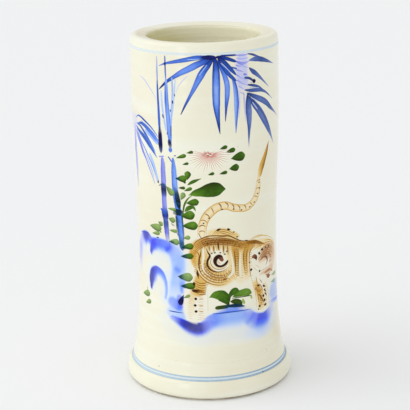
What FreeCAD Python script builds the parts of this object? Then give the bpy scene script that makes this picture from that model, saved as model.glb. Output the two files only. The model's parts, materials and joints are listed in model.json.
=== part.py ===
import FreeCAD, Part

import enum
import math
import os
import re

import Sketcher

# Brush pot: a clay cylinder with a thick lip and a swelling foot, glazed inside and out.
# Millimetres, +Z up, the axis is Z, and the pot stands on z = 0.
doc = FreeCAD.newDocument("brush_pot")

# Driving dimensions. A share has no unit: it places a point between two sizes.
DIMENSIONS = [
    ("pot_height", 245.9, "foot to the lip's outer corner, before the corner is rounded"),
    ("waist_radius", 48.85, "narrowest part of the outside"),
    ("lip_width", 11.1, "thickness of the wall at the lip, with its glaze"),
    ("waist_low_share", 0.346, "lower end of the straight waist, of the pot's height"),
    ("waist_top_share", 0.48, "upper end of the straight waist, of the pot's height"),
    ("belly_share", 0.805, "widest part of the upper wall, of the pot's height"),
    ("turning_share", 0.46, "where the curve turns over, from the waist to the belly"),
    ("belly_swell", 1.75, "how far the belly stands out past the waist"),
    ("rim_draw", 0.6, "how far the rim draws in from the belly"),
    ("sway", 0.9, "how far the wall has leaned out where the foot starts to flare"),
    ("flare_rise", 34.7, "height of the flare, from the upper ring line"),
    ("flare_out", 4.6, "how far the flare spreads"),
    ("ring_line_gap", 2.5, "between the two ring lines above the foot band"),
    ("ring_line_spread", 0.55, "how much wider the lower ring line is than the upper one"),
    ("foot_band_height", 13.8, "top of the foot band, and of the well's glazed floor"),
    ("foot_swell", 3.8, "how far the foot band stands out past the lower ring line"),
    ("shoulder_share", 0.684, "shoulder of the foot band, of its swell"),
    ("shoulder_height_share", 0.84, "height of that shoulder, of the foot band"),
    ("swell_height_share", 0.35, "height of the widest part, of the foot band"),
    ("foot_edge_share", 0.447, "lower end of the glaze, of the foot band's swell"),
    ("bare_height", 1.3, "bare clay below the glaze"),
    ("foot_bevel", 0.8, "bevel on the bare clay edge"),
    ("foot_chamfer", 1.2, "chamfer round the recess under the foot"),
    ("slab_seat", 4.7, "how far the floor slab reaches in under the wall"),
    ("slab_thickness", 7.6, "floor slab"),
    ("lip_fall", 1.7, "how far the lip's top slopes down towards the well"),
    ("lip_round", 3.2, "rounding of the lip's outer corner"),
    ("mouth_round", 2.2, "rounding of the lip's inner corner"),
    ("coat_meet_drop", 6.0, "from the lip's inner corner down to where the two glaze coats meet"),
    ("glaze", 0.4, "thickness of the glaze"),
    ("pool_round", 2.6, "glaze pooled in the corner of the well's floor"),
]

sizes = doc.addObject("Spreadsheet::Sheet", "sizes")
for row, (alias, number, meaning) in enumerate(DIMENSIONS, start=1):
    sizes.set(f"A{row}", meaning)
    sizes.set(f"B{row}", str(number))
    sizes.setAlias(f"B{row}", alias)
doc.recompute()

# Radii and heights worked out from them
BELLY = "waist_radius + belly_swell"
RIM = f"{BELLY} - rim_draw"
BORE = f"{RIM} - lip_width"
FLARE = "waist_radius + sway"
ANKLE = f"{FLARE} + flare_out"
STEP = f"{ANKLE} + ring_line_spread"
FOOT_EDGE = f"{STEP} + foot_swell * foot_edge_share"
WAIST_LOW = "pot_height * waist_low_share"
WAIST_TOP = "pot_height * waist_top_share"
BELLY_HEIGHT = "pot_height * belly_share"
ANKLE_HEIGHT = "foot_band_height + ring_line_gap"
LIP_INNER = "pot_height - lip_fall"

# Places that neighbouring pieces share
COAT = "glaze"
NO_COAT = "0"
CLAY_BORE = f"{BORE} + glaze"
CLAY_SEAT = "foot_band_height - glaze"
CLAY_LIP = f"{LIP_INNER} - glaze"
SLAB = f"{CLAY_BORE} + slab_seat"
COATS_MEET = f"{LIP_INNER} - coat_meet_drop"


class Line(enum.IntEnum):
    """A sketch's own axes, as its rules number them."""

    LEVEL = -1
    UPRIGHT = -2


class End(enum.IntEnum):
    """The points of a sketch line or arc, as its rules number them."""

    FIRST = 1
    LAST = 2
    CENTRE = 3


ORIGIN = (Line.LEVEL, End.FIRST)

# Edges of an outline. A level arc has its centre at the height of one of its ends, so the
# outline is upright there, and a smooth arc carries on the direction of its neighbour.
LINE = "line"
LEVEL_START = "arc level with its start"
LEVEL_END = "arc level with its end"
SMOOTH_START = "arc smooth at its start"
SMOOTH_END = "arc smooth at its end"
BACKWARDS = {
    LINE: LINE,
    LEVEL_START: LEVEL_END,
    LEVEL_END: LEVEL_START,
    SMOOTH_START: SMOOTH_END,
    SMOOTH_END: SMOOTH_START,
}
FULL_TURN = 2 * math.pi


def bound(expression):
    """The same expression with each alias read from the sheet."""
    return re.sub(r"[a-z][a-z_]*", r"sizes.\g<0>", expression)


def number_of(expression):
    return float(sizes.evalExpression(expression))


def origin_plane(body, role):
    for feature in body.Origin.OriginFeatures:
        if feature.Role == role:
            return feature
    raise RuntimeError(f"{body.Name} has no {role}")


def level_centre(upright, other):
    """Centre level with the upright end of an arc that also passes the other end."""
    gap = other[0] - upright[0]
    reach = (gap ** 2 + (other[1] - upright[1]) ** 2) / (2 * gap)
    return (upright[0] + reach, upright[1])


def smooth_centre(shared, other, neighbour_centre):
    """Centre of an arc from the shared end, in line with the neighbour's centre."""
    span = math.dist(shared, neighbour_centre)
    along = [(neighbour_centre[axis] - shared[axis]) / span for axis in range(2)]
    chord = [other[axis] - shared[axis] for axis in range(2)]
    reach = math.dist(shared, other) ** 2 / (2 * (along[0] * chord[0] + along[1] * chord[1]))
    return (shared[0] + along[0] * reach, shared[1] + along[1] * reach)


def arc_between(centre, start, end):
    """The arc of less than half a turn, and which of its two ends the start and end are."""
    circle = Part.Circle(
        FreeCAD.Vector(*centre, 0), FreeCAD.Vector(0, 0, 1), math.dist(centre, start)
    )
    first = math.atan2(start[1] - centre[1], start[0] - centre[0])
    last = math.atan2(end[1] - centre[1], end[0] - centre[0])
    turn = (last - first) % FULL_TURN
    if turn <= math.pi:
        return Part.ArcOfCircle(circle, first, first + turn), (End.FIRST, End.LAST)
    return Part.ArcOfCircle(circle, last, last + FULL_TURN - turn), (End.LAST, End.FIRST)


def arc_centres(corners):
    """Centres of the arcs that leave each corner; the level arcs come first."""
    places = [(number_of(radius), number_of(height)) for radius, height, _ in corners]
    count = len(corners)
    centres = {}
    for index, (_, _, edge) in enumerate(corners):
        start, end = places[index], places[(index + 1) % count]
        if edge == LEVEL_START:
            centres[index] = level_centre(start, end)
        elif edge == LEVEL_END:
            centres[index] = level_centre(end, start)
    for index, (_, _, edge) in enumerate(corners):
        start, end = places[index], places[(index + 1) % count]
        if edge == SMOOTH_START:
            centres[index] = smooth_centre(start, end, centres[(index - 1) % count])
        elif edge == SMOOTH_END:
            centres[index] = smooth_centre(end, start, centres[(index + 1) % count])
    return places, centres


def draw_outline(body, name, corners):
    """A closed sketch of lines and arcs through the corners, each one bound to the sheet."""
    sketch = body.newObject("Sketcher::SketchObject", name)
    sketch.AttachmentSupport = [(origin_plane(body, "XZ_Plane"), "")]
    sketch.MapMode = "FlatFace"
    places, centres = arc_centres(corners)
    count = len(corners)
    ends = []
    for index in range(count):
        start, end = places[index], places[(index + 1) % count]
        if index in centres:
            curve, which = arc_between(centres[index], start, end)
        else:
            curve = Part.LineSegment(FreeCAD.Vector(*start, 0), FreeCAD.Vector(*end, 0))
            which = (End.FIRST, End.LAST)
        sketch.addGeometry(curve, False)
        ends.append(which)

    for index, (radius, height, edge) in enumerate(corners):
        before = (index - 1) % count
        here = (index, ends[index][0])
        arriving = (before, ends[before][1])
        smooth = edge == SMOOTH_START or corners[before][2] == SMOOTH_END
        joint = "Tangent" if smooth else "Coincident"
        sketch.addConstraint(Sketcher.Constraint(joint, *arriving, *here))
        for direction, expression, zero_line in (
            ("DistanceX", radius, Line.UPRIGHT),
            ("DistanceY", height, Line.LEVEL),
        ):
            if expression == "0":
                sketch.addConstraint(Sketcher.Constraint("PointOnObject", *here, zero_line))
                continue
            rule = sketch.addConstraint(
                Sketcher.Constraint(direction, *ORIGIN, *here, number_of(expression))
            )
            label = f"corner_{index}_{'radius' if direction == 'DistanceX' else 'height'}"
            sketch.renameConstraint(rule, label)
            sketch.setExpression(f".Constraints.{label}", bound(expression))
        if edge == LEVEL_START:
            sketch.addConstraint(Sketcher.Constraint("Horizontal", index, End.CENTRE, *here))
        elif edge == LEVEL_END:
            far_end = (index, ends[index][1])
            sketch.addConstraint(Sketcher.Constraint("Horizontal", index, End.CENTRE, *far_end))
    return sketch


def turned_body(name, corners):
    """A body turned about the pot's axis from a closed outline."""
    body = doc.addObject("PartDesign::Body", name)
    body.Label = name
    body.Placement = FreeCAD.Placement()
    sketch = draw_outline(body, f"{name}_outline", corners)
    revolution = body.newObject("PartDesign::Revolution", f"{name}_turned")
    revolution.Profile = sketch
    revolution.ReferenceAxis = (sketch, ["V_Axis"])
    sketch.Visibility = False
    doc.recompute()
    return body


def ring_edge(shape, radius, height):
    """Name of the one circular edge at that radius and height."""
    near = number_of("glaze") / 4
    names = [
        f"Edge{number}"
        for number, edge in enumerate(shape.Edges, start=1)
        if isinstance(edge.Curve, Part.Circle)
        and abs(edge.Curve.Radius - number_of(radius)) < near
        and abs(edge.Curve.Center.z - number_of(height)) < near
    ]
    if len(names) != 1:
        raise RuntimeError(f"{len(names)} edges at radius {radius}, height {height}")
    return names[0]


def dress_edge(body, kind, name, place, size):
    """A fillet or chamfer on the ring edge at a place, its size bound to the sheet."""
    base = body.Tip
    feature = body.newObject(f"PartDesign::{kind}", name)
    feature.Base = (base, [ring_edge(base.Shape, *place)])
    feature.setExpression("Radius" if kind == "Fillet" else "Size", bound(size))
    doc.recompute()


def round_lip(body, name, coat):
    """Both corners of the lip rounded, coat below the glaze."""
    outer = (f"{RIM} - {coat}", f"pot_height - {coat}")
    inner = (f"{BORE} + {coat}", f"{LIP_INNER} - {coat}")
    dress_edge(body, "Fillet", f"{name}_lip", outer, f"lip_round - {coat}")
    dress_edge(body, "Fillet", f"{name}_mouth", inner, f"mouth_round - {coat}")


def foot_side(coat):
    """The foot band's outline from the glaze's lower end up to the step, coat below the glaze."""
    return [
        (f"{FOOT_EDGE} - {coat}", "bare_height", LEVEL_END),
        (f"{STEP} + foot_swell - {coat}", "foot_band_height * swell_height_share", LEVEL_START),
        (
            f"{STEP} + foot_swell * shoulder_share - {coat}",
            f"foot_band_height * shoulder_height_share - {coat}",
            SMOOTH_START,
        ),
    ]


def wall_side(coat):
    """The wall's outline from the step up to the lip's outer corner, coat below the glaze."""
    turning_height = f"{WAIST_TOP} + ({BELLY_HEIGHT} - {WAIST_TOP}) * turning_share"
    return [
        (f"{STEP} - {coat}", f"foot_band_height - {coat}", LINE),
        (f"{ANKLE} - {coat}", ANKLE_HEIGHT, SMOOTH_END),
        (f"{FLARE} - {coat}", f"{ANKLE_HEIGHT} + flare_rise", LEVEL_END),
        (f"waist_radius - {coat}", WAIST_LOW, LINE),
        (f"waist_radius - {coat}", WAIST_TOP, LEVEL_START),
        (f"waist_radius + belly_swell * turning_share - {coat}", turning_height, LEVEL_END),
        (f"{BELLY} - {coat}", BELLY_HEIGHT, LEVEL_START),
        (f"{RIM} - {coat}", f"pot_height - {coat}", LINE),
    ]


def backwards(chain):
    """A chain of corners walked from its last to its first, ready for a line onwards."""
    edges = [BACKWARDS[edge] for _, _, edge in chain[:-1]]
    turned = list(reversed(chain))
    return [
        (radius, height, edge)
        for (radius, height, _), edge in zip(turned, list(reversed(edges)) + [LINE])
    ]


def make_thrown_wall():
    """The clay cylinder and its thick lip."""
    body = turned_body(
        "thrown_wall",
        wall_side(COAT)
        + [
            (CLAY_BORE, CLAY_LIP, LINE),
            (CLAY_BORE, CLAY_SEAT, LINE),
        ],
    )
    round_lip(body, "clay", COAT)
    return body


def make_foot_ring():
    """The clay foot band: the wall stands on it, and the floor slab fills its hole."""
    body = turned_body(
        "foot_ring",
        [
            (SLAB, "0", LINE),
            (f"{FOOT_EDGE} - glaze - foot_bevel", "0", LINE),
        ]
        + foot_side(COAT)
        + [
            (f"{STEP} - glaze", CLAY_SEAT, LINE),
            (SLAB, CLAY_SEAT, LINE),
        ],
    )
    dress_edge(body, "Chamfer", "recess_chamfer", (SLAB, "0"), "foot_chamfer")
    return body


def make_floor_slab():
    """The clay disc under the well, with a shallow recess left below it."""
    body = doc.addObject("PartDesign::Body", "floor_slab")
    body.Label = "floor_slab"
    sketch = body.newObject("Sketcher::SketchObject", "floor_slab_outline")
    sketch.AttachmentSupport = [(origin_plane(body, "XY_Plane"), "")]
    sketch.MapMode = "FlatFace"
    sketch.addGeometry(
        Part.Circle(FreeCAD.Vector(), FreeCAD.Vector(0, 0, 1), number_of(SLAB)), False
    )
    sketch.addConstraint(Sketcher.Constraint("Coincident", 0, End.CENTRE, *ORIGIN))
    rule = sketch.addConstraint(Sketcher.Constraint("Radius", 0, number_of(SLAB)))
    sketch.renameConstraint(rule, "slab_radius")
    sketch.setExpression(".Constraints.slab_radius", bound(SLAB))
    slab = body.newObject("PartDesign::Pad", "floor_slab_thickness")
    slab.Profile = sketch
    slab.setExpression("Length", bound("slab_thickness"))
    body.setExpression(".Placement.Base.z", bound(f"{CLAY_SEAT} - slab_thickness"))
    doc.recompute()
    return body


def make_outer_glaze():
    """The coat over the foot band, the wall and the lip, down to the well's upper edge."""
    outside = foot_side(NO_COAT) + wall_side(NO_COAT)
    clay_side = foot_side(COAT) + wall_side(COAT)
    body = turned_body(
        "outer_glaze",
        outside
        + [
            (BORE, LIP_INNER, LINE),
            (BORE, COATS_MEET, LINE),
            (CLAY_BORE, COATS_MEET, LINE),
            (CLAY_BORE, CLAY_LIP, LINE),
        ]
        + backwards(clay_side),
    )
    round_lip(body, "glaze", NO_COAT)
    round_lip(body, "glaze_back", COAT)
    return body


def make_inner_glaze():
    """The coat on the wall and the floor of the well, pooled in their corner."""
    body = turned_body(
        "inner_glaze",
        [
            ("0", CLAY_SEAT, LINE),
            (CLAY_BORE, CLAY_SEAT, LINE),
            (CLAY_BORE, COATS_MEET, LINE),
            (BORE, COATS_MEET, LINE),
            (BORE, "foot_band_height", LINE),
            ("0", "foot_band_height", LINE),
        ],
    )
    dress_edge(body, "Fillet", "glaze_pool", (BORE, "foot_band_height"), "pool_round")
    return body


pieces = [
    make_thrown_wall(),
    make_foot_ring(),
    make_floor_slab(),
    make_outer_glaze(),
    make_inner_glaze(),
]
doc.recompute()

for item in doc.Objects:
    if "Invalid" in item.State or "Error" in item.State:
        raise RuntimeError(f"{item.Label} did not compute: {item.State}")
for piece in pieces:
    if piece.Shape.isNull() or not piece.Shape.isValid() or len(piece.Shape.Solids) != 1:
        raise RuntimeError(f"{piece.Label} is not one valid solid")

os.makedirs("parts", exist_ok=True)
for piece in pieces:
    piece.Shape.exportStep(os.path.join("parts", f"{piece.Label}.step"))
    box = piece.Shape.optimalBoundingBox()
    print(f"{piece.Label}: {piece.Shape.Volume:.0f} mm3, "
          f"radius {box.XMax:.2f}, z {box.ZMin:.2f} to {box.ZMax:.2f}")
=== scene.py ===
import json
import math
from collections import namedtuple

import bmesh
import bpy
import numpy as np
from bpy.props import FloatProperty, FloatVectorProperty, IntProperty, PointerProperty
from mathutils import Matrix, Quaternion, Vector

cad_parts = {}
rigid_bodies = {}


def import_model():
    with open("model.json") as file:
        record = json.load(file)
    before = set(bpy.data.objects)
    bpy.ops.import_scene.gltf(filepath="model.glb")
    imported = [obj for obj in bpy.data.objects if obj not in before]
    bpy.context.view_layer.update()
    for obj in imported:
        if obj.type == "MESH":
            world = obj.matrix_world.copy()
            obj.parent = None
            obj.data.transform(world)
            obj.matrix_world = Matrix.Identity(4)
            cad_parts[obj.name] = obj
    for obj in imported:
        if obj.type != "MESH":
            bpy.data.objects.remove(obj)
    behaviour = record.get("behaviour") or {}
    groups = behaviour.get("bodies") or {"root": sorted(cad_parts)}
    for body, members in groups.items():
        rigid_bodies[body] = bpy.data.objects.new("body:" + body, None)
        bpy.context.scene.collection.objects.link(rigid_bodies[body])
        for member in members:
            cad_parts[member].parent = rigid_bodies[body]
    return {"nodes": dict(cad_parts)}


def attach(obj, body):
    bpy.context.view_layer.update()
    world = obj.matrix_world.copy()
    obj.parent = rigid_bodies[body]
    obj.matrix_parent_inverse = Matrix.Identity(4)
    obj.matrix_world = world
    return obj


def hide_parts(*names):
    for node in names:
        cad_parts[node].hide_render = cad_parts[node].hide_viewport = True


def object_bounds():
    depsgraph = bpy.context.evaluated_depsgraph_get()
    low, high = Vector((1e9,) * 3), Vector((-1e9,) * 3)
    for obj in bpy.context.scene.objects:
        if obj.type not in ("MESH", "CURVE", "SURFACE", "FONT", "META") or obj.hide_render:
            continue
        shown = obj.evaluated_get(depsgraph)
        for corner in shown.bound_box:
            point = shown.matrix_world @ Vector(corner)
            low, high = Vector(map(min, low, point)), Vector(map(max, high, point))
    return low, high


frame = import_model()

bl_info = {
    "name": "Painted brush pot",
    "version": (1, 0, 0),
    "blender": (4, 5, 0),
    "location": "3D View > Sidebar > Brush Pot",
    "description": "Dresses a porcelain brush pot with its glazes and its painting of a tiger in bamboo",
    "category": "Object",
}

CAD_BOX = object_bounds()


# The drawing sheet
# The painting is drawn as if the wall were unrolled: a place is (round, up), in millimetres,
# counted round the wall from the middle of the front, right-hand side positive, and up from the table.
# The sheet is as large as the pot it was drawn for, and a larger or smaller pot stretches it.
SHEET_HIGH = 245.4
SHEET_TURN = 50.0
UNIT = (CAD_BOX[1].z - CAD_BOX[0].z) / SHEET_HIGH
PAINTED_FROM, PAINTED_TO = -80.0, 84.0
# A millimetre, and the distance within which two points are one, in metres
MM = 0.001
WELD = 2e-6


# Brush strokes
# A pigment runs from its thinnest to its thickest coat. Colours are red, green, blue, from 0 to 255.
PIGMENTS = {
    "cobalt": ((216, 228, 246), (164, 196, 250), (108, 150, 242), (64, 108, 212), (34, 76, 172),
        (14, 42, 134), (10, 6, 72)),
    "slate": ((212, 220, 232), (168, 186, 222), (120, 144, 202), (80, 106, 174), (52, 80, 150),
        (32, 54, 120), (10, 16, 56)),
    "wash": ((232, 238, 240), (196, 216, 248), (150, 182, 248), (100, 134, 238), (64, 84, 216),
        (44, 52, 178), (30, 30, 124)),
    "lilac": ((230, 228, 242), (200, 204, 246), (162, 170, 242), (124, 134, 232), (92, 98, 204),
        (66, 66, 166), (38, 30, 108)),
    "teal": ((150, 190, 200), (92, 150, 186), (44, 108, 150), (16, 82, 122), (4, 62, 94), (2, 44, 66),
        (2, 28, 44)),
    "leaf": ((206, 221, 156), (162, 196, 104), (122, 158, 64), (84, 128, 26), (54, 98, 10), (44, 66, 2),
        (22, 40, 0)),
    "fur": ((246, 236, 206), (237, 211, 148), (221, 179, 84), (197, 143, 38), (158, 103, 18), (108, 61, 8),
        (58, 26, 4), (18, 7, 2)),
    "tan": ((246, 234, 216), (234, 210, 178), (216, 178, 138), (190, 140, 98), (156, 102, 66),
        (116, 64, 42), (64, 26, 18)),
    "rose": ((242, 222, 206), (236, 200, 186), (222, 162, 150), (204, 122, 112), (178, 90, 82),
        (150, 66, 60), (124, 50, 50)),
    "cream": ((243, 240, 222), (240, 236, 214), (236, 230, 202), (230, 222, 188), (222, 210, 170),
        (210, 194, 150), (196, 178, 130)),
    "line": ((226, 236, 238), (208, 224, 234), (182, 206, 224), (152, 182, 206), (122, 156, 188),
        (98, 132, 170), (76, 110, 150)),
}
# How full a brush mark is from where it starts to where it lifts.
BRUSHES = {
    "blade": (0.30, 0.62, 0.88, 1.00, 0.96, 0.80, 0.58, 0.34, 0.06),
    "line": (0.70, 0.95, 1.00, 1.00, 1.00, 1.00, 1.00, 0.92, 0.55),
    "wedge": (0.05, 0.30, 0.52, 0.70, 0.86, 0.97, 1.00, 0.96, 0.70),
    "blot": (0.10, 0.66, 0.87, 0.97, 1.00, 0.97, 0.87, 0.66, 0.10),
    "hair": (0.40, 0.80, 1.00, 1.00, 0.95, 0.85, 0.70, 0.50, 0.20),
}
# A stroke in millimetres. Its strength and cover run from 0 to 1 and may change on the way.
# Its habits: pool is darker at both edges, lean is darker to its right, soft is the width of its faded rim.
Stroke = namedtuple("Stroke", "pigment brush width strength knots pool lean cover soft")
HABITS = {"pool": 0.12, "lean": 0.0, "cover": 1.0, "soft": 0.3}
STROKE_STEP = 1.1
THIN_STROKE = 0.9
ACROSS = (-1.0, -0.72, -0.36, 0.0, 0.36, 0.72, 1.0)
ACROSS_THIN = (-1.0, 1.0)
WIDEST_RIM = 0.6
ROUND_END = (0.04, 0.12, 0.28, 0.5, 0.75, 1.0)
LEAST_ROUND = 0.0004
TINY = 1e-6


def strokes(pigment, brush, rows, **shared):
    """Strokes of one kind. A row is (width, strength, knots), and its own habits where it has some."""
    made = []
    for width, strength, knots, *own in rows:
        habits = {**HABITS, **shared, **(own[0] if own else {})}
        made.append(Stroke(pigment, brush, width, strength, knots, **habits))
    return made


def linear(colour):
    """A colour from 0 to 255 as a picture holds it, as the light that it stands for."""
    part = np.asarray(colour, float) / 255
    return np.where(part <= 0.04045, part / 12.92, ((part + 0.055) / 1.055) ** 2.4)


def along(values, share):
    """A value that changes evenly through the given ones, at a share of the way."""
    values = np.atleast_1d(np.asarray(values, float))
    return np.interp(share, np.linspace(0, 1, len(values)), values)


def pigment_colour(pigment, strength):
    """The colour of a coat of pigment, as light, for strengths from 0 to 1."""
    shades = linear(PIGMENTS[pigment])
    places = np.linspace(0, 1, len(shades))
    return np.stack([np.interp(strength, places, shades[:, k]) for k in range(3)], -1)


def smooth_path(knots, step):
    """A smooth line through given knots, in steps of about the given length."""
    knots = np.asarray(knots, float)
    gaps = np.maximum(np.hypot(*np.diff(knots[:, :2], axis=0).T), TINY)[:, None]
    slopes = np.diff(knots, axis=0) / gaps
    bends = (slopes[:-1] * gaps[1:] + slopes[1:] * gaps[:-1]) / (gaps[1:] + gaps[:-1])
    bends = np.vstack([slopes[:1], bends, slopes[-1:]])
    parts = []
    for k, gap in enumerate(gaps[:, 0]):
        share = np.arange(math.ceil(max(gap / step, 1)))[:, None] / math.ceil(max(gap / step, 1))
        cube, square = share ** 3, share ** 2
        parts.append(
            knots[k] * (2 * cube - 3 * square + 1)
            + knots[k + 1] * (3 * square - 2 * cube)
            + gap * bends[k] * (cube - 2 * square + share)
            + gap * bends[k + 1] * (cube - square)
        )
    return np.vstack([*parts, knots[-1:]])


def brush_line(stroke):
    """The middle line of a stroke, its half widths and how far along each place is, from 0 to 1."""
    line = smooth_path(stroke.knots, STROKE_STEP)
    gone = np.concatenate([[0], np.cumsum(np.hypot(*np.diff(line, axis=0).T))])
    length = gone[-1]
    cap = min(0.5 * np.max(stroke.width), 0.4 * length)
    ends = cap * np.array(ROUND_END)
    even = np.linspace(cap, length - cap, math.ceil(max((length - 2 * cap) / STROKE_STEP, 2)) + 1)
    places = np.concatenate([[0], ends[:-1], even, (length - ends[:-1])[::-1], [length]])
    line = np.stack([np.interp(places, gone, line[:, k]) for k in (0, 1)], -1)
    blunt = np.clip(np.minimum(places, length - places) / cap, LEAST_ROUND, 1)
    half = along(BRUSHES[stroke.brush], places / length) * along(stroke.width, places / length) / 2
    return line, half * np.sqrt(blunt * (2 - blunt)), places


def stroke_ribbon(stroke):
    """A stroke as a ribbon: places on the sheet, colours with cover, and brush coordinates, row by row."""
    line, half, gone = brush_line(stroke)
    share = gone / gone[-1]
    heading = np.gradient(line, axis=0)
    heading /= np.maximum(np.hypot(*heading.T), TINY)[:, None]
    side = np.stack([heading[:, 1], -heading[:, 0]], -1)
    rim = np.clip(stroke.soft / np.maximum(half, TINY), 0, WIDEST_RIM)[:, None]
    inside = np.array(ACROSS if np.max(stroke.width) > THIN_STROKE else ACROSS_THIN) * (1 - rim)
    edge = np.ones_like(rim)
    off = np.hstack([-edge, inside, edge])
    places = line[:, None] + side[:, None] * (half[:, None] * off)[..., None]
    strength = along(stroke.strength, share)[:, None]
    strength = strength + stroke.pool * np.minimum(np.abs(off) / 0.8, 1) ** 3 + stroke.lean * off
    colour = pigment_colour(stroke.pigment, np.clip(strength, 0, 1))
    cover = along(stroke.cover, share)[:, None] * (np.abs(off) < 0.999)
    brushed = np.stack(np.broadcast_arrays(half[:, None] * off, gone[:, None]), -1)
    return places, np.concatenate([colour, cover[..., None]], -1), brushed


# Washes, laid with a wide wet brush before the strokes
# A wash fades over its own width to the left and to the right. Blue ones keep to a wet edge and thin out
# more, and they darken each other.
Wash = namedtuple("Wash", "pigment width strength knots left right cover", defaults=(1.0, 1.0, 1.0))
WASH_STEP = 2.0
BLUE_WASHES = ("wash", "lilac")
WET_EDGE = 0.2
BLUE_THINS, OTHERS_THIN = 0.86, 0.62


def washes(pigment, rows):
    """Washes of one pigment. A row is (width, strength, knots, fade to the left, to the right, cover)."""
    return [Wash(pigment, *row) for row in rows]


def lay_washes(round_, up, rows):
    """Colour and cover, as light, that washes leave at places on the sheet."""
    bare = pigment_colour("cream", np.zeros(round_.shape))
    look = bare.copy()
    cover = np.zeros(round_.shape)
    for wash in rows:
        line = smooth_path(wash.knots, WASH_STEP)
        gone = np.concatenate([[0], np.cumsum(np.hypot(*np.diff(line, axis=0).T))])
        share = gone / max(gone[-1], TINY)
        reach = np.max(wash.width) / 2 + max(np.max(wash.left), np.max(wash.right))
        low, high = line.min(0) - reach, line.max(0) + reach
        near = (round_ > low[0]) & (round_ < high[0]) & (up > low[1]) & (up < high[1])
        if not near.any():
            continue
        place = np.stack([round_[near], up[near]], -1)
        best = np.full(len(place), np.inf)
        at, signed = np.zeros(len(place)), np.zeros(len(place))
        for k, (start, end) in enumerate(zip(line, line[1:])):
            run = end - start
            part = np.clip(((place - start) @ run) / max(run @ run, TINY), 0, 1)
            away = place - start - part[:, None] * run
            gap = np.hypot(*away.T)
            closer = gap < best
            best = np.where(closer, gap, best)
            at = np.where(closer, share[k] + part * (share[k + 1] - share[k]), at)
            signed = np.where(closer, away @ np.array([run[1], -run[0]]), signed)
        fade = np.where(signed < 0, along(wash.left, at), along(wash.right, at))
        edge = np.clip((best - along(wash.width, at) / 2) / fade, 0, 1)
        blue = wash.pigment in BLUE_WASHES
        thin = np.clip((edge - WET_EDGE) / (1 - WET_EDGE), 0, 1) if blue else edge
        mask = ((1 - thin * thin * (3 - 2 * thin)) * along(wash.cover, at))[:, None]
        thinned_by = 1 - (BLUE_THINS if blue else OTHERS_THIN) * edge
        colour = pigment_colour(wash.pigment, along(wash.strength, at) * thinned_by)
        under = look[near]
        laid = bare[near] * (1 - mask) + colour * mask
        look[near] = under * laid / bare[near] if blue else under * (1 - mask) + colour * mask
        cover[near] = 1 - (1 - cover[near]) * (1 - mask[:, 0])
    paint = (look - bare * (1 - cover[..., None])) / np.maximum(cover, TINY)[..., None]
    return np.clip(paint, 0, 1), cover


# Bamboo stems
STEMS = strokes("lilac", "line", (
    ((3.8, 4.4, 4.4, 4.4, 4.6, 4.4, 3), (0.42, 0.44, 0.42, 0.44, 0.52, 0.56, 0.4),
     ((-30.6, 169), (-30.6, 158), (-30.7, 146), (-30.6, 134), (-30, 124), (-29.4, 115), (-29, 106)),
     {"cover": (1, 1, 1, 1, 1, 1, 0.1), "lean": 0.1}),
    (1.1, (0.5, 0.4), ((-33.4, 168.8), (-29, 169.6))),
), soft=0.5)
STEMS += strokes("cobalt", "line", (
    ((3.2, 4.4, 4.7, 4.6, 4.8, 5, 4.8, 3.4), (0.4, 0.3, 0.28, 0.34, 0.4, 0.36, 0.32, 0.36), ((-22.4, 169.4),
     (-22.1, 160), (-21.9, 150), (-21.3, 142), (-20, 134), (-18.9, 126), (-18.4, 117), (-17.8, 105.4)),
     {"pool": 0.16, "lean": 0.1}),
), soft=0.5)
STEMS += strokes("cobalt", "line", (
    (1.3, (0.3, 0.38, 0.45), ((-33, 236.3), (-33, 228), (-33, 220)), {"cover": (0.5, 0.9, 1)}),
    ((1.6, 2, 2.3, 2.6), (0.62, 0.56, 0.5, 0.56), ((-33, 221), (-32.8, 212), (-32.3, 200), (-31.9, 186))),
    (1.4, (0.5, 0.62, 0.4), ((-26.5, 237), (-26.5, 230), (-26.3, 221))),
    ((2.6, 3.4, 3.6, 3.8), (0.22, 0.3, 0.26, 0.34), ((-26, 222), (-26, 208), (-25, 195), (-23.9, 178)),
     {"pool": 0.2}),
    (1.1, (0.3, 0.52, 0.3), ((-26.4, 219), (-26.5, 210), (-26.2, 200)), {"soft": 0.7}),
    (1.7, (0.22, 0.16, 0.2), ((-21.8, 223), (-21.4, 214), (-22.2, 204), (-23, 190)), {"soft": 0.5}),
    (1, (0.12, 0.12), ((-19.4, 222), (-20.2, 212), (-22.2, 196))),
    (1.8, (0.08, 0.14, 0.14), ((-30, 214), (-29.4, 204), (-26.8, 187)), {"soft": 0.7}),
    ((2.4, 3.5, 3.9, 3), (0.84, 1, 1, 0.8), ((-31.8, 190), (-31.7, 182), (-31.6, 176), (-31.4, 171.2)),
     {"cover": (0.2, 1, 1, 1, 0.8)}),
    ((2.3, 3.2, 2.4), (0.95, 1, 0.8), ((-25, 181.8), (-24.3, 178.6), (-23.8, 175.6)),
     {"cover": (0.8, 1, 0.6)}),
    ((2.6, 3.2), (0.52, 0.36), ((-24, 177), (-24.1, 172.6)), {"cover": (0.3, 1, 1)}),
    (0.8, (0.8, 0.9, 0.8), ((-22.9, 191), (-23, 187), (-23.2, 183.6))),
    (0.8, (0.6, 0.6), ((-26.1, 186.6), (-26, 184.4))), (0.9, (0.8, 0.8), ((-21.7, 170.6), (-20, 170.8))),
    (1.2, (0.62, 0.66, 0.4), ((-26, 169.8), (-24.6, 168), (-23.4, 166))),
    ((4.2, 6, 5.6, 4.4), (0.44, 0.56, 0.82, 0.7),
     ((-31.4, 134.6), (-30.6, 130.4), (-30.2, 127), (-30, 124)), {"cover": (0.1, 0.9, 1, 0.2)}),
    (1.6, (0.55, 0.6), ((-34, 132.8), (-31.6, 130.4))),
    (0.9, (0.66, 0.6), ((-28.8, 166), (-28.9, 158), (-28.8, 150)), {"cover": 0.4}),
), soft=0.4)
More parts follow.
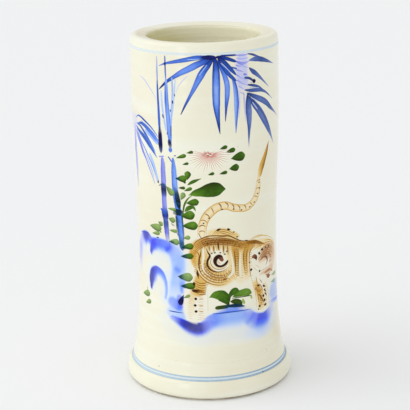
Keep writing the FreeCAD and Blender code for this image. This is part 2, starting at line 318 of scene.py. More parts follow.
STEMS += strokes("slate", "line", (
    ((4.2, 5, 4.8), (0.5, 0.84, 0.92, 0.8, 0.5), ((-31, 152), (-30.8, 146), (-30.5, 140)),
     {"cover": (0, 0.9, 1, 0.8, 0)}),
    ((4.4, 4.8, 4.4), (0.5, 0.66, 0.6, 0.5), ((-30, 126.6), (-29.8, 122), (-29.5, 118)),
     {"cover": (0, 0.9, 0.8, 0)}),
    (1, (0.6, 0.66, 0.6), ((-27.9, 120), (-27.6, 113), (-27.5, 107)), {"cover": 0.5}),
), soft=0.5)
STEMS += strokes("cobalt", "blot", (
    (1.3, 0.98, ((-29.2, 198.2), (-28.6, 195.2))), (1, 0.75, ((-20.2, 212.4), (-19.9, 210.4))),
    (1.3, 0.9, ((-21.7, 208), (-21.3, 205.4))), (1, 0.85, ((-23.4, 202), (-23.1, 199.8))),
    (2, 0.92, ((-35.9, 153.4), (-35, 149.8))), (1.8, 0.9, ((-26.7, 232.8), (-26.7, 230))),
))
STEMS += strokes("teal", "line", (
    (1.6, (0.5, 0.6, 0.5), ((-34.8, 148.4), (-32, 149.8), (-28, 149.2)), {"cover": (0.5, 0.9, 0.3)}),
    ((2, 3.8, 4.4, 3), (0.6, 0.88, 0.98, 0.94), ((-22.6, 150), (-21, 145.6), (-20, 140), (-19, 133.6)),
     {"cover": (0.1, 0.9, 1, 1)}),
    ((3, 4.8, 5, 3.4), (0.6, 0.86, 0.9, 0.7), ((-24.2, 130.2), (-21, 131.6), (-18.4, 131.4), (-16, 129.4)),
     {"cover": (0.4, 1, 1, 0.5)}),
    ((1.4, 2.2, 1.6), (0.88, 0.7, 0.5), ((-21.8, 129.6), (-21, 122), (-20.6, 114)), {"cover": (1, 0.9, 0.2)}),
    ((1.4, 1.8, 1.4), (0.9, 0.74, 0.6), ((-17.4, 129), (-16.6, 120), (-16.2, 112)),
     {"cover": (0.9, 0.6, 0.5)}),
    ((3.8, 4.4, 3.4), (0.4, 0.56, 0.52), ((-18.4, 115.4), (-18, 110), (-17.2, 104.8)),
     {"cover": (0, 0.9, 0.8)}),
), pool=0.05, soft=0.45)


# Bamboo leaves: full width, strength from root to tip, knots from root to tip
TOP_LEAVES = strokes("cobalt", "line", (
    ((2.4, 3.6, 3.2, 2.3, 1.2), (0.85, 0.5, 0.44, 0.48, 0.4),
     ((5, 236.4), (-6, 236), (-13, 234.6), (-20, 233.2), (-27, 231.6), (-31.6, 229.8))),
    ((2, 4.2, 4.8, 4.2, 3, 2.3, 1.8), (0.9, 0.56, 0.34, 0.32, 0.44, 0.74, 0.94),
     ((7, 236), (1, 234), (-5, 231.6), (-10, 229), (-16, 226), (-20, 223.5), (-25, 220.3), (-31.8, 214.2))),
    ((2.2, 4.4, 5, 3.6, 2.4, 1.9, 1.5), (0.9, 0.6, 0.38, 0.36, 0.44, 0.64, 0.95), ((6.4, 236.4),
     (2.6, 231.6), (-0.8, 227.4), (-3.8, 222.2), (-7, 216), (-10, 210.4), (-13, 204.8), (-16.1, 198.4))),
    ((3.4, 5.3, 5.6, 5.2, 3, 1.6), (0.85, 0.42, 0.24, 0.28, 0.56, 0.9),
     ((6.6, 236.6), (7.2, 230), (7.3, 218), (7.2, 210), (7.4, 203), (8.1, 196), (9.4, 185.4)),
     {"pool": 0.42}),
    ((2.6, 3, 4, 3.7, 2.1, 1.2), (0.8, 0.46, 0.28, 0.32, 0.58, 0.9), ((8.8, 236), (10.3, 230), (12.5, 225),
     (14.3, 219), (14.5, 212), (13.8, 205), (13.4, 199.5), (13, 193.6))),
    ((2.2, 3.5, 3.9, 2.4, 1), (0.6, 0.34, 0.28, 0.34, 0.5),
     ((18, 224), (20, 216), (20.8, 207), (20.6, 197), (20.2, 185)), {"lean": -0.26, "pool": 0.2}),
    ((2.4, 3.2, 3, 2), (0.9, 0.7, 0.66, 0.66),
     ((8, 236.8), (12, 233.6), (15, 230.4), (18, 227), (21, 223.6))),
    ((2, 3, 2.6), (0.8, 0.6, 0.62), ((8.4, 234.4), (12, 229.6), (15, 225.6), (18, 222.4), (21, 219.8))),
    ((2, 2.8, 2.2), (0.88, 0.74, 0.72), ((8.6, 236.8), (15, 234.9), (21.4, 232.4))),
    (1.6, (0.8, 0.75), ((10, 237.2), (21.5, 236.9))), (1.4, (0.68, 0.6), ((16.4, 229.4), (21.6, 228))),
    (0.9, (0.18, 0.14), ((1.6, 231.6), (-3.6, 224.6))), (0.9, (0.16, 0.14), ((-3, 235.4), (-11, 234.9))),
    (0.8, (0.16, 0.14), ((10.4, 232.4), (17.4, 225.6))),
), pool=0.2, soft=0.35)
TOP_LEAVES += strokes("cobalt", "blot", (
    ((2.6, 3.4, 3.4), (0.9, 0.94, 0.9), ((-2.6, 236.6), (1.6, 236.4), (8, 236.2))),
    (2.2, 0.92, ((6.6, 236.2), (11.4, 236.6))),
))
TOP_LEAVES += strokes("lilac", "hair", (
    (1.6, (0.5, 0.38, 0.4), ((20.6, 236.9), (25, 236.4), (30.5, 236.8))),
    (1.1, (0.34, 0.28), ((21, 234.8), (26, 233.9), (30, 234.4))),
    ((2, 2.6, 1.8), (0.6, 0.44, 0.34), ((20.6, 232.8), (25, 231), (31, 232))),
    (1.2, (0.56, 0.34), ((20.4, 230.4), (25, 228.8))), (1, (0.36, 0.24), ((24, 230), (30.4, 227.4))),
    (1.2, (0.56, 0.36), ((20, 227.6), (26.4, 225.4))), (1.8, (0.62, 0.56), ((26, 223.9), (29.2, 223.2))),
    (1.2, (0.6, 0.34), ((20.4, 224.4), (24, 222))), (1, (0.36, 0.26), ((22.6, 222.6), (28.6, 219.6))),
    (1.2, (0.5, 0.3), ((21, 220.6), (25.4, 218))), (1, (0.36, 0.26), ((24, 218.4), (29.4, 216.2))),
    (1.1, (0.4, 0.26), ((22.4, 216.4), (27, 213.6))), (0.9, (0.4, 0.3), ((23.4, 212.4), (27.6, 210))),
    (1.5, (0.14, 0.2, 0.12), ((22.7, 214), (23, 206), (22.4, 195)), {"soft": 0.7}),
    (1.8, (0.3, 0.24, 0.12), ((26.2, 212), (26.7, 204), (27.4, 192)), {"soft": 0.7}),
), soft=0.45, cover=0.85)
RIGHT_LEAVES = strokes("slate", "line", (
    ((1.3, 1.9, 1.3, 0.6), (0.8, 0.66, 0.48, 0.3), ((29.2, 237), (33, 236.1), (37, 234.6), (44, 231.8))),
    ((1.8, 3.7, 3.8, 2.7, 1.6, 0.6), (0.42, 0.48, 0.66, 0.6, 0.42, 0.2),
     ((30.2, 232.4), (35, 232.8), (39, 232.4), (43, 231.4), (48, 229.8), (57, 226.6))),
    ((2.2, 3.6, 2.8, 1.8, 1.2, 0.6), (0.62, 0.6, 0.46, 0.46, 0.36, 0.2),
     ((30.4, 227.8), (33, 225.4), (36, 223.3), (40, 220.2), (44, 216.8), (50, 212))),
    (2, (0.6, 0.72, 0.85), ((26.6, 221.5), (30.5, 220.8), (34, 218.6))),
    ((1.6, 2.2, 1.8, 0.8), (0.85, 0.66, 0.58, 0.5), ((29, 216.6), (33, 215.8), (37, 214.7), (44, 210.9))),
    ((1.6, 2.8, 3, 2.4, 1.6, 1.5), (0.75, 0.6, 0.5, 0.52, 0.5, 0.75),
     ((26.6, 213.5), (31, 212.6), (36, 212.2), (41, 211.4), (45, 209.8), (48, 207.9), (50.8, 205.8))),
    (0.8, (0.26, 0.12), ((50, 206.4), (54, 203.6))),
    ((2.4, 3.3, 4.2, 4.3, 3.5, 2, 1.1, 0.5), (0.92, 0.6, 0.46, 0.48, 0.6, 0.44, 0.26, 0.12), ((28.4, 211.2),
     (33, 209), (38, 206.6), (43, 204.2), (47, 201.7), (51, 198.4), (55, 195.6), (65, 189.2))),
    ((2.6, 4.7, 5.5, 5.6, 4.4, 2, 0.6), (0.92, 0.54, 0.44, 0.46, 0.5, 0.36, 0.15),
     ((30, 209), (34, 203.6), (38, 199.2), (42, 194), (46, 188.4), (50, 182.4), (57, 171.6))),
    ((2.4, 4.6, 5.4, 4.3, 2.5, 1.5, 0.6), (0.88, 0.56, 0.42, 0.42, 0.54, 0.52, 0.25),
     ((29, 211), (29.6, 203), (30, 197), (30.2, 190), (30, 184), (29.9, 179), (30, 174)), {"lean": 0.14}),
    (1, (0.1, 0.08), ((32.8, 204.6), (37.4, 199))), (1, (0.12, 0.1), ((31.6, 207.8), (38, 204.4))),
    (0.9, (0.12, 0.12), ((30.4, 214.5), (39, 213.4))), (0.9, (0.14, 0.1), ((31, 218), (33, 217.2))),
    (0.7, (0.85, 0.7, 0.5), ((34, 205), (42, 196), (48.6, 186))),
), pool=0.14, soft=0.35)
RIGHT_LEAVES += strokes("cobalt", "blot", (
    (3.2, 1, ((32.8, 218.4), (36.2, 218.3))),
))
LEFT_LEAVES = strokes("cobalt", "line", (
    ((0.6, 2.4, 2.8, 1.8), (0.22, 0.26, 0.22), ((-51, 191), (-45, 188.2), (-38.6, 183.8), (-33.8, 179.2)),
     {"soft": 0.6}),
    ((0.6, 2.2, 2.6, 0.8), (0.26, 0.3, 0.24), ((-52, 187), (-46, 181.8), (-40.4, 175.8), (-36, 170)),
     {"soft": 0.6}),
    ((0.4, 1.2, 1.4, 0.6), (0.16, 0.18, 0.14), ((-47.4, 170), (-43.6, 164), (-40.4, 157.6), (-38.6, 152)),
     {"soft": 0.7}),
    (3.4, (0.14, 0.22, 0.18), ((-46, 185.4), (-39, 181.6), (-33, 177)), {"soft": 0.7}),
    (2.4, (0.1, 0.16, 0.14), ((-54, 182), (-47, 179), (-41, 173)), {"soft": 0.9}),
    ((1.1, 1.5, 1.9, 1.6, 1.4, 1.2), (0.34, 0.54, 0.66, 0.52, 0.46, 0.34),
     ((-58.6, 191.2), (-54.6, 193.5), (-51, 193.2), (-46, 191.3), (-40, 188.2), (-33.4, 182))),
    ((1.4, 2.6, 3.2, 3.4, 2.8), (0.46, 0.56, 0.46, 0.38, 0.3),
     ((-56, 187.4), (-51, 189), (-47, 188.2), (-43, 186.4), (-39, 183.8), (-33, 178.6))),
    ((1.4, 2, 2.2, 1.7, 1.2), (0.46, 0.62, 0.54, 0.48, 0.4),
     ((-57.6, 188), (-52, 187), (-47, 183.6), (-42, 178.8), (-36.6, 171.6))),
    ((1.8, 2.7, 3.4, 3, 2.2, 1.3), (0.42, 0.54, 0.58, 0.52, 0.5, 0.4),
     ((-58.6, 186), (-53, 183), (-49, 181.2), (-45, 178.2), (-41, 174.3), (-34.8, 167.6)), {"pool": 0.2}),
    ((1.4, 1.5, 1.2), (0.4, 0.34, 0.3, 0.55),
     ((-57, 184), (-51, 176.4), (-46, 171), (-42.5, 166), (-39.4, 161), (-36.2, 153))),
    (2.8, (0.1, 0.16, 0.12), ((-42, 170), (-38.4, 162), (-35.4, 151)), {"soft": 0.9}),
), pool=0.16, soft=0.4)
LEFT_LEAVES += strokes("lilac", "line", (
    ((2.4, 3.2, 2.6, 1.5, 1.3, 1.1), (0.34, 0.46, 0.5, 0.4, 0.36, 0.38),
     ((-59, 183.4), (-53.6, 176.6), (-49.8, 170.4), (-46, 164.6), (-43, 159), (-38, 148.6))),
    ((2.6, 4.2, 3.6, 1.6), (0.24, 0.34, 0.3, 0.2), ((-60.6, 188), (-61.2, 172), (-61.2, 156), (-62, 141))),
), pool=0.1, soft=0.35)
TWIGS = strokes("lilac", "hair", (
    (1.1, (0.14, 0.22, 0.24), ((-51, 221.4), (-45, 219), (-40, 214.5), (-36, 210), (-34.5, 207.4))),
    (0.9, (0.1, 0.16), ((-11, 224.4), (-15, 220.5), (-17.5, 217), (-19, 213))),
), pool=0.05, soft=0.4)


# Sprays of green leaves: a touch of a loaded brush starts at its point
def touches(pigment, strength, rows, **habits):
    """Single touches of the brush: (width, from, to)."""
    return strokes(pigment, "wedge", [(w, strength, (a, b)) for w, a, b in rows], **habits)


GREENS = touches("leaf", (0.6, 0.44, 0.34, 0.46), (
    (5, (-29, 149.2), (-22.8, 143.2)), (4.2, (-17.8, 140.2), (-15.2, 145.8)),
    (2.6, (-28.2, 133.6), (-21.4, 133.2)), (4.6, (-27.8, 126.6), (-22.2, 125.2)),
    (3.8, (-37, 122.8), (-32.4, 121)), (2.8, (-27.5, 118.4), (-21, 118.1)),
    (3.4, (-17, 113.8), (-11.6, 114.8)), (5.8, (-46, 118.4), (-33.8, 118.4)),
    (3.2, (-43.4, 113.4), (-35.4, 114.8)), (6.8, (-21.4, 86.4), (-10.4, 86.4)),
    (2.6, (-17.6, 71.2), (-12.6, 73.6)), (3.8, (-53.6, 60.4), (-46.4, 63.6)),
    (4.8, (-27.6, 110.6), (-19.6, 110.6)), (5, (-58.2, 66), (-47.8, 68.8)),
), pool=0.14, lean=0.2, cover=0.9)
GREENS += touches("leaf", (0.84, 0.62, 0.5, 0.6), (
    (5, (-12.7, 154.4), (-12.2, 160.8)), (5.4, (-21, 155), (-13, 155.4)),
    (2.8, (-15.4, 146.8), (-9.6, 149.2)), (6.8, (-18.2, 129), (-8.2, 130.8)),
    (6.4, (-17.6, 122.4), (-6.2, 123.2)), (4.8, (-18.2, 107.4), (-9.4, 108.8)),
    (5.2, (-19.4, 79.8), (-8.8, 80.4)), (3, (-20.2, 169.2), (-13, 171.6)),
), pool=0.16, lean=0.22)
GREENS += touches("leaf", (0.7, 0.76, 0.72, 0.6), (
    (2.4, (-13, 173), (-8.2, 174)), (2.2, (-16, 165), (-11.4, 166.2)), (2.5, (-19.4, 148.8), (-14.2, 149)),
    (3, (8.8, 175.4), (14.3, 177.1)), (3.7, (12.8, 173), (19.8, 174.7)), (5.4, (15, 161.4), (22.6, 162.4)),
    (2.8, (8.4, 158.5), (14.2, 159.7)), (2.5, (0.8, 158.2), (5.4, 159.4)),
    (6.9, (16.2, 168.4), (27, 169.7)),
), pool=0.12, lean=0.1)
GREENS += touches("leaf", (0.76, 0.64, 0.56, 0.66), (
    (5.2, (-14.4, 138.4), (-5.2, 139.8)), (4.4, (-19, 101), (-9.6, 101.6)),
), pool=0.14, lean=0.12)
GREENS += strokes("leaf", "blade", (
    (2.6, (0.6, 0.66, 0.66), ((-12.8, 151), (-10, 153), (-7, 154.4), (-3, 156))),
    (1.7, (0.5, 0.6, 0.66, 0.6), ((-9.4, 144.2), (-12.6, 141.8), (-15, 138), (-16.4, 132), (-16.8, 125))),
    (3.4, (0.5, 0.62, 0.56), ((-15.4, 132.4), (-12, 135.4), (-9.4, 136), (-7.4, 132.8))),
    (0.9, (0.35, 0.4), ((-50.8, 73.4), (-51.2, 70), (-51.6, 67))),
))
GREENS += strokes("leaf", "blot", (
    (1.7, 0.8, ((-15.6, 153), (-13.6, 152.6))), (1.4, 0.5, ((-35.4, 116.4), (-34, 115.4))),
    (1.2, 0.66, ((-39, 111.4), (-36.8, 111.2))),
))
GREENS += touches("teal", (0.6, 0.5, 0.4), (
    (2.2, (-23.4, 139), (-18.2, 137)), (2, (-22.6, 128.4), (-18.4, 124.6)), (2, (-22, 117.6), (-18, 114)),
    (2, (-26.2, 123.4), (-22.6, 121.6)),
), pool=0.05, cover=(0.5, 0.6, 0.2), soft=0.5)
GREENS += touches("teal", (0.92, 0.8, 0.55), (
    (2.8, (-21.4, 155.2), (-17.4, 155)), (3.2, (-19.2, 101), (-13.2, 101)),
    (4.2, (-21.6, 86.2), (-16.4, 86)), (3.4, (-19.6, 79.6), (-14.2, 79.8)),
    (2.4, (-27.8, 110.2), (-23, 110)), (3, (-18.4, 107.2), (-14.4, 107.4)),
), pool=0, cover=(0.9, 0.8, 0.1), soft=0.4)
BIG_LEAF = strokes("leaf", "line", (
    ((1, 4.6, 6.4, 9.2, 10.6, 9.4, 5.6), (0.4, 0.5, 0.62, 0.72, 0.76, 0.7, 0.66),
     ((-12.6, 144), (-7, 145.8), (-2, 146.8), (4, 148), (9, 148.2), (12.9, 148)), {"lean": -0.12}),
), pool=0.1)
TUFT = strokes("leaf", "line", (
    ((1.4, 5.6, 8.4, 7.2, 2.2), (0.5, 0.48, 0.6, 0.7, 0.75),
     ((0.4, 72.2), (4.4, 73.8), (8.6, 73.4), (12, 70.6), (13.8, 65.4))),
    ((1.4, 3, 5.6, 5), (0.8, 0.72, 0.62, 0.66), ((14.4, 69), (15, 72.4), (17.6, 75), (22.2, 75.2))),
    ((1.6, 4.6, 5.8, 4.6), (0.66, 0.48, 0.4, 0.46), ((16.8, 71.4), (22, 73), (27.4, 73.2), (32.4, 71.6))),
    (0.9, (0.8, 0.85, 0.8), ((16.4, 70.6), (24, 70.4), (32.6, 69.9))),
    ((2.2, 4.2, 4.2, 2.4), (0.78, 0.82, 0.76), ((15.2, 68.4), (19, 68), (22, 67), (24.4, 64.4))),
    (1.5, (0.75, 0.8), ((14, 74), (14.2, 64.6))),
    (1.8, (0.2, 0.24), ((31.6, 70), (32.2, 67.4)), {"soft": 0.4}),
    (2.2, (0.22, 0.26), ((24.4, 69), (26.2, 65)), {"soft": 0.4}),
    (3, (0.74, 0.82, 0.84), ((4.4, 64.6), (8, 64.9), (14.4, 65.2))),
), pool=0.08)
TUFT += strokes("teal", "line", (
    ((2, 3.2, 1.6), (0.7, 0.88, 0.66), ((11, 65.2), (18, 65.2), (26.4, 63.4))),
), pool=0, soft=0.45)


# Chrysanthemum
PETALS = 25
HEART_DASHES = 44


def sprays():
    """The flower: faint long petals that droop, and short red dashes in its heart.

    The dashes spread as seeds do in a flower head, and remainders of the number vary their lengths.
    """
    rows = []
    for k in range(PETALS):
        turn = math.radians(166 + k * 8.7)
        far = 10.4 + (k * 5 % 3) * 1.3 + 3.2 * abs(math.cos(turn))
        reach = [(2 + d * math.cos(turn), 172.2 + 0.9 * d * math.sin(turn)) for d in (1.6, far * 0.6, far)]
        rows.append((0.9, (0.40, 0.32, 0.24), reach, {"cover": (0.65, 0.55, 0.3)}))
    for k in range(HEART_DASHES):
        turn = 2.4 * k
        near = 2.6 * (k * 0.7549 % 1)
        far = near + 1.2 + 1.4 * (k * 0.5698 % 1)
        reach = [(2 + 1.3 * d * math.cos(turn), 172.1 + 0.8 * d * math.sin(turn)) for d in (near, far)]
        rows.append((0.5, (0.74 - 0.11 * near, 0.50 - 0.09 * near), reach))
    return strokes("rose", "hair", rows, pool=0.0, soft=0.25)


FLOWER = sprays()


# Rocks and ground, in graded washes
ROCKS = washes("wash", (
    (10, 0.02, ((-58, 104), (-44, 104), (-30, 103), (-21, 98), (-22, 84), (-24, 68)), 6, 7, 0.6),
    (8, 0.02, ((-46, 78), (-44, 86), (-38, 88), (-32, 82), (-31, 72)), 5, 6, 0.55),
    ((8, 8, 7, 8, 8), (0.26, 0.26, 0.22, 0.24, 0.16),
     ((-24, 106), (-21.5, 98), (-21, 90), (-22, 80), (-23.6, 72)), 3.5, 3.5, (0.6, 1, 1, 1, 0.5)),
    (2.6, (0.34, 0.42, 0.34), ((-20, 94), (-21.4, 91), (-24, 88)), 3, 3, (0.2, 0.9, 0.2)),
    (2.4, (0.34, 0.36, 0.3), ((-18.4, 84), (-18, 76)), 2.4, 1.6, (0.2, 1, 1)),
    ((3.4, 4.6, 4.4), (0.5, 0.56, 0.48, 0.36), ((-43, 108), (-36, 108.2), (-29, 107.2), (-22.6, 103.4)),
     1.8, 7, (1, 1, 0.9, 0.3)),
    ((2, 3.6, 2.4), (0.44, 0.6, 0.44), ((-30.6, 108), (-28.4, 105), (-26, 102.6)), 3, 3.6, (0.1, 0.9, 0.1)),
    ((0.8, 2.6, 3, 2.4), (0.84, 0.76, 0.68, 0.56),
     ((-45.8, 99.6), (-44.6, 104), (-42, 107.8), (-37, 109.4)), 0.8, (3, 7, 7, 6), (1, 1, 1, 0.2)),
    ((2, 3.6, 3.6, 2), (0.44, 0.8, 0.84, 0.66), ((-60, 106), (-54.4, 110), (-48.8, 110.4), (-44.4, 107.8)),
     1.6, (8, 10, 9, 5), (0.1, 1, 1, 0.7)),
    ((0.8, 2.4, 2.4, 1.8, 1.2, 0.8, 0.7, 0.6), (0.94, 0.98, 0.88, 0.7, 0.5, 0.4, 0.36, 0.3), ((-46.4, 73.4),
     (-46.7, 80), (-45, 86.4), (-40, 89.3), (-35, 87.8), (-31.6, 82.8), (-30.6, 76), (-31.6, 69)),
     (0.8, 1, 1, 1), (2, 7, 10, 10, 7, 4, 2.4, 1.6)),
))
ROCKS += washes("lilac", (
    ((2, 3, 3), (0.4, 0.4, 0.3, 0.14), ((-57, 108), (-61.4, 102), (-63.4, 94), (-63.6, 80)), 6, 4,
     (0.2, 0.8, 0.7, 0)),
    (8, (0.1, 0.14), ((-72, 188), (-61, 188)), 4, 4, (0.3, 0.6)),
    (6, (0.14, 0.2, 0.22, 0.1), ((25.4, 233.4), (25, 228), (25.6, 220), (26.8, 211)), 2.8, 2.8,
     (1, 0.9, 0.9, 0.2)),
))
GROUND = washes("wash", (
    (14, 0.02, ((-26, 54), (-10, 50), (10, 52), (30, 50), (50, 50)), 5, 8, (0.3, 0.6, 0.6, 0.6, 0.3)),
    (6, (0.1, 0.16, 0.14), ((24, 48), (42, 44.4), (58, 48)), 7, 7, (0.1, 0.8, 0.4)),
    ((5, 6), (0.2, 0.22), ((-27, 60), (-20, 58.6)), 2.4, 3, (0.7, 1)),
    (5, (0.46, 0.5), ((-26, 67.4), (-21, 65.4)), 2.6, 2.8, (0.7, 1)),
    (2.6, (0.7, 0.86, 0.7), ((-20.4, 71), (-19.6, 68.4), (-20, 65.6)), 2, 2, (0.6, 1, 0.5)),
    ((5, 6, 6, 5, 4), (0.52, 0.44, 0.32, 0.32, 0.42),
     ((-3, 53.6), (3, 57), (12, 58.4), (22, 58.2), (31, 57.4)), 1.2, (7, 8, 9, 9, 8), (0.6, 1, 1, 1, 0.5)),
    (2.4, (0.42, 0.46, 0.42), ((5, 62), (16, 63), (28, 61.6)), 1.4, 2, (0.1, 1, 1, 0.1)),
    (7, (0.42, 0.44), ((29, 56), (33, 51)), 4, 4, (0.2, 0.8, 0.3)),
    ((3, 4, 4, 3), (0.52, 0.68, 0.64, 0.46), ((31, 56.6), (38, 53), (46, 52.4), (54, 55.6)), 1.4,
     (7, 11, 10, 6), (0.3, 1, 1, 0.3)),
    ((1.6, 3.6, 5.4, 4), (0.54, 0.82, 0.98, 0.94, 0.56),
     ((-26, 56.4), (-19, 54.2), (-12, 51.6), (-6, 51.2), (1, 53.8)), 1.2, (3, 5, 6.4, 5),
     (0.6, 1, 1, 1, 0.3)),
    ((8, 10), (0.34, 0.3, 0.16), ((58.6, 66), (66, 66), (80, 63)), 5, 6, (0.75, 0.9, 0.5, 0)),
    (0.9, (0.56, 0.5, 0.2), ((53, 60), (62, 59), (82, 56.4)), 0.8, 4, (0.3, 1, 0.7, 0)),
))
# Darker tan on the lip to the left and the right, and a painted warm shade low on the right side of the wall
LIP_TINTS_AND_PAINTED_SHADE = washes("cream", (
    (12, (0.74, 0.8, 0.64), ((-104, 254), (-74, 254), (-36, 254)), 4, 4, (0.3, 0.9, 0.2)),
    (12, (0.6, 0.66, 0.6), ((24, 254), (64, 254), (104, 254)), 4, 4, (0.1, 0.6, 0.2)),
    # Painted shade: a warm darkening low on the right side, away from the light
    (14, (0.62, 0.7, 0.6), ((64, 44), (60, 38), (50, 34)), 9, 9, (0.2, 0.4, 0.1)),
))
RIMS = strokes("cobalt", "hair", (
    (1.2, (0.62, 0.66), ((-29, 60.5), (-17.4, 60.4))),
    (1.3, (0.6, 0.64, 0.62), ((2.6, 60.6), (16, 60.8), (32, 60.2))),
    (0.8, (0.55, 0.6), ((-60, 110.4), (-52, 112.6))), (1, (0.9, 0.8), ((-38.8, 111.2), (-36.4, 111.6))),
), pool=0.05, soft=0.4)
RIMS += touches("cobalt", (0.8, 1, 0.98), (
    (4.4, (-17.2, 73.8), (-20.6, 65.8)),
), pool=0, soft=0.4)
RIMS += touches("leaf", (0.62, 0.45, 0.4), (
    (3.4, (55.4, 78.4), (66, 77.4)), (3, (54.6, 73.2), (64, 72.4)),
), cover=0.6, soft=0.4)


# Ring lines, drawn while the pot turned on the wheel; a painted shade line along a fine groove; and iron
# specks
RINGS = strokes("line", "line", (
    (2, (0.16, 0.08, 0.05, 0.22, 0.16), ((-157, 238.6), (-60, 238.6), (0, 238.4), (60, 238.6), (157, 238.6))),
    (2.4, (0.16, 0.1, 0.08, 0.22), ((-157, 15), (-60, 15), (60, 15), (157, 15))),
    (1.2, (0.5, 0.34, 0.62, 0.56), ((-157, 16.1), (-60, 16.1), (60, 16.1), (157, 16.1))),
    (1.2, (0.48, 0.3, 0.58, 0.5), ((-157, 13.9), (-60, 13.9), (60, 13.9), (157, 13.9))),
), pool=0, soft=0.5)
# Painted shade: a faint darker line where a fine groove runs round the wall, too fine for the mesh
RINGS += strokes("cream", "hair", (
    (0.9, 0.34, ((-32, 26.2), (8, 25.8), (46, 26.2)), {"cover": 0.3}),
), soft=0.9)
RINGS += strokes("fur", "blot", (
    (0.9, 0.66, ((-35.9, 19.5), (-35.1, 19.4))), (1, 0.8, ((36.4, 14), (37.5, 14.1))),
    (0.8, 0.56, ((42.7, 28), (43.4, 28))),
))


# The tiger, with the middles of its haunch and its cheek
HAUNCH = (8.6, 98.4)
CHEEK = (48, 89.4)
ARC_KNOTS = 7


def arc(centre, radius, start, end):
    """Knots on part of a circle, between two bearings in degrees."""
    turns = np.radians(np.linspace(start, end, ARC_KNOTS))
    return [(centre[0] + radius * math.cos(t), centre[1] + radius * math.sin(t)) for t in turns]


def hairs(strength, path, gap, reach, slant, width=0.6, pigment="fur", cover=1.0):
    """Short hairs set across a path at even gaps, turned from it by a slant in degrees.

    Sines of the hair's number vary each slant and length a little, as a hand would.
    """
    line = smooth_path(path, gap)
    heading = np.gradient(line, axis=0)
    rows = []
    for k, ((x, y), (along_x, along_y)) in enumerate(zip(line, heading)):
        turn = math.atan2(along_y, along_x) + math.radians(slant + 9 * math.sin(2.4 * k))
        half = reach * (0.42 + 0.10 * math.sin(3.7 * k))
        step = (half * math.cos(turn), half * math.sin(turn))
        rows.append((width, strength, ((x - step[0], y - step[1]), (x + step[0], y + step[1]))))
    return strokes(pigment, "hair", rows, pool=0.0, soft=0.25, cover=cover)


def dots(width, strength, reach, rise, middles):
    """Dots pressed with the tip of the brush, each a short dash across its middle."""
    rows = [(width, strength, ((s - reach, z - rise), (s + reach, z + rise))) for s, z in middles]
    return strokes("fur", "blot", rows)


PAWS = washes("cream", (
    ((14.6, 16, 15), (0.02, 0.02), ((-8.8, 76), (-9, 66), (-8.6, 62.4)), 1, 2.4),
    ((13, 14), (0.08, 0.08), ((41, 76), (43.6, 62.6)), 1, 1.2),
    ((22, 24), (0.1, 0.1), ((0, 96), (24, 96)), 1.5, 1.5),
    ((16, 20), (0.12, 0.12), ((30, 94), (46, 93)), 1.5, 1.5),
))
COAT = washes("fur", (
    ((5, 6, 4), (0.34, 0.38, 0.26), ((-8.6, 108), (-9, 103), (-8.4, 97)), 1.2, 2),
    ((5, 7, 7, 6, 5), (0.4, 0.52, 0.54, 0.5, 0.44),
     ((-6.6, 110), (0, 111.5), (8, 111.4), (16, 109.7), (25, 106.8)), 1.4, (3, 4, 4, 4.6)),
    ((6, 9, 10, 7), (0.26, 0.24, 0.26, 0.18), arc(HAUNCH, 12.4, 165, 318), 2.4, 3),
    (4, (0.12, 0.2), ((-4.6, 92), (-5, 86)), 2, 2),
    (2, (0.22, 0.16, 0.1), ((-10.6, 76), (-11.4, 69), (-11, 61)), 2.4, 2.4, (0.8, 0.6, 0.3)),
    (4, (0.2, 0.24, 0.2), ((0.6, 106.4), (8, 107.4), (15, 105.4)), 1.4, 3.6, 0.7),
    (3.4, (0.12, 0.15, 0.12), arc((8.6, 98.6), 7, 150, 390), 1.4, 1.4, 0.55),
    ((4, 5), (0.16, 0.12), ((16.4, 106), (17, 96), (15.6, 87)), 2, 2, 0.6),
    ((5, 6), (0.12, 0.1), ((24.2, 105), (24, 95), (23.6, 84)), 2, 2, 0.5),
    ((7, 8), (0.3, 0.28), ((-5, 84.6), (-6.6, 77.6)), 1.6, 2.4),
    ((4.6, 3), (0.42, 0.28, 0.12), ((19.6, 107), (20.4, 98), (21, 87)), 1.2, 1.6),
    ((4.4, 2.6), (0.42, 0.32, 0.22, 0.08), ((33, 106), (28.4, 102.6), (27.6, 94), (28.6, 84)), 1.6, 2.2),
    (4, (0.46, 0.42, 0.36), ((24, 107), (34, 106.8), (43, 104)), 1.2, 2.4),
    (5, (0.1, 0.13, 0.1), ((40, 105.6), (50, 103), (60, 98)), 2, 3),
    ((2, 4.4, 5, 5), (0.18, 0.3, 0.22, 0.14), ((36, 77.5), (39.6, 71), (42, 65), (42, 61)), 2.4, 2.6),
    ((5, 6, 4), (0.12, 0.2, 0.2), ((3, 117), (10, 117.4), (20, 114)), 1.2, 1),
))
COAT += washes("tan", (
    ((4, 9, 8), (0.14, 0.38, 0.4, 0.2), ((42, 94), (49, 97), (56, 97)), 2.6, 3),
    ((6, 7), (0.3, 0.28, 0.18), ((57.6, 98), (59.4, 93), (58, 88)), 3, 3),
    ((1.6, 3), (0.14, 0.3, 0.3), ((44, 83.4), (50, 82.6), (57, 83.4)), 1.4, 1.6),
))
TAIL_LINE = (
    (-3.6, 114.6), (-3.4, 121), (-1.4, 127.6), (3, 133), (8, 136), (13, 136.5), (18, 134.5), (23, 133.5),
    (28, 133), (33, 135), (36.4, 138.4), (38.6, 143), (39.2, 150), (40.4, 157)
)
TAIL = strokes("fur", "line", (
    ((6, 5.8, 5.4, 5, 4.6, 3.6), (0.02, 0.05, 0.05, 0.04, 0.05, 0.08), TAIL_LINE,
     {"pool": 0.14, "soft": 0.5}),
    ((4.8, 5.4, 3.8, 1), (0.18, 0.38, 0.44, 0.54),
     ((39.8, 152), (41.2, 157.6), (43.6, 162.4), (46, 167.2), (48.2, 172), (49.6, 175.8)),
     {"lean": 0.22, "pool": 0.1}),
    (0.7, (0.6, 0.66, 0.6), ((-6, 118), (-4.6, 115), (-3.4, 113.6))),
))
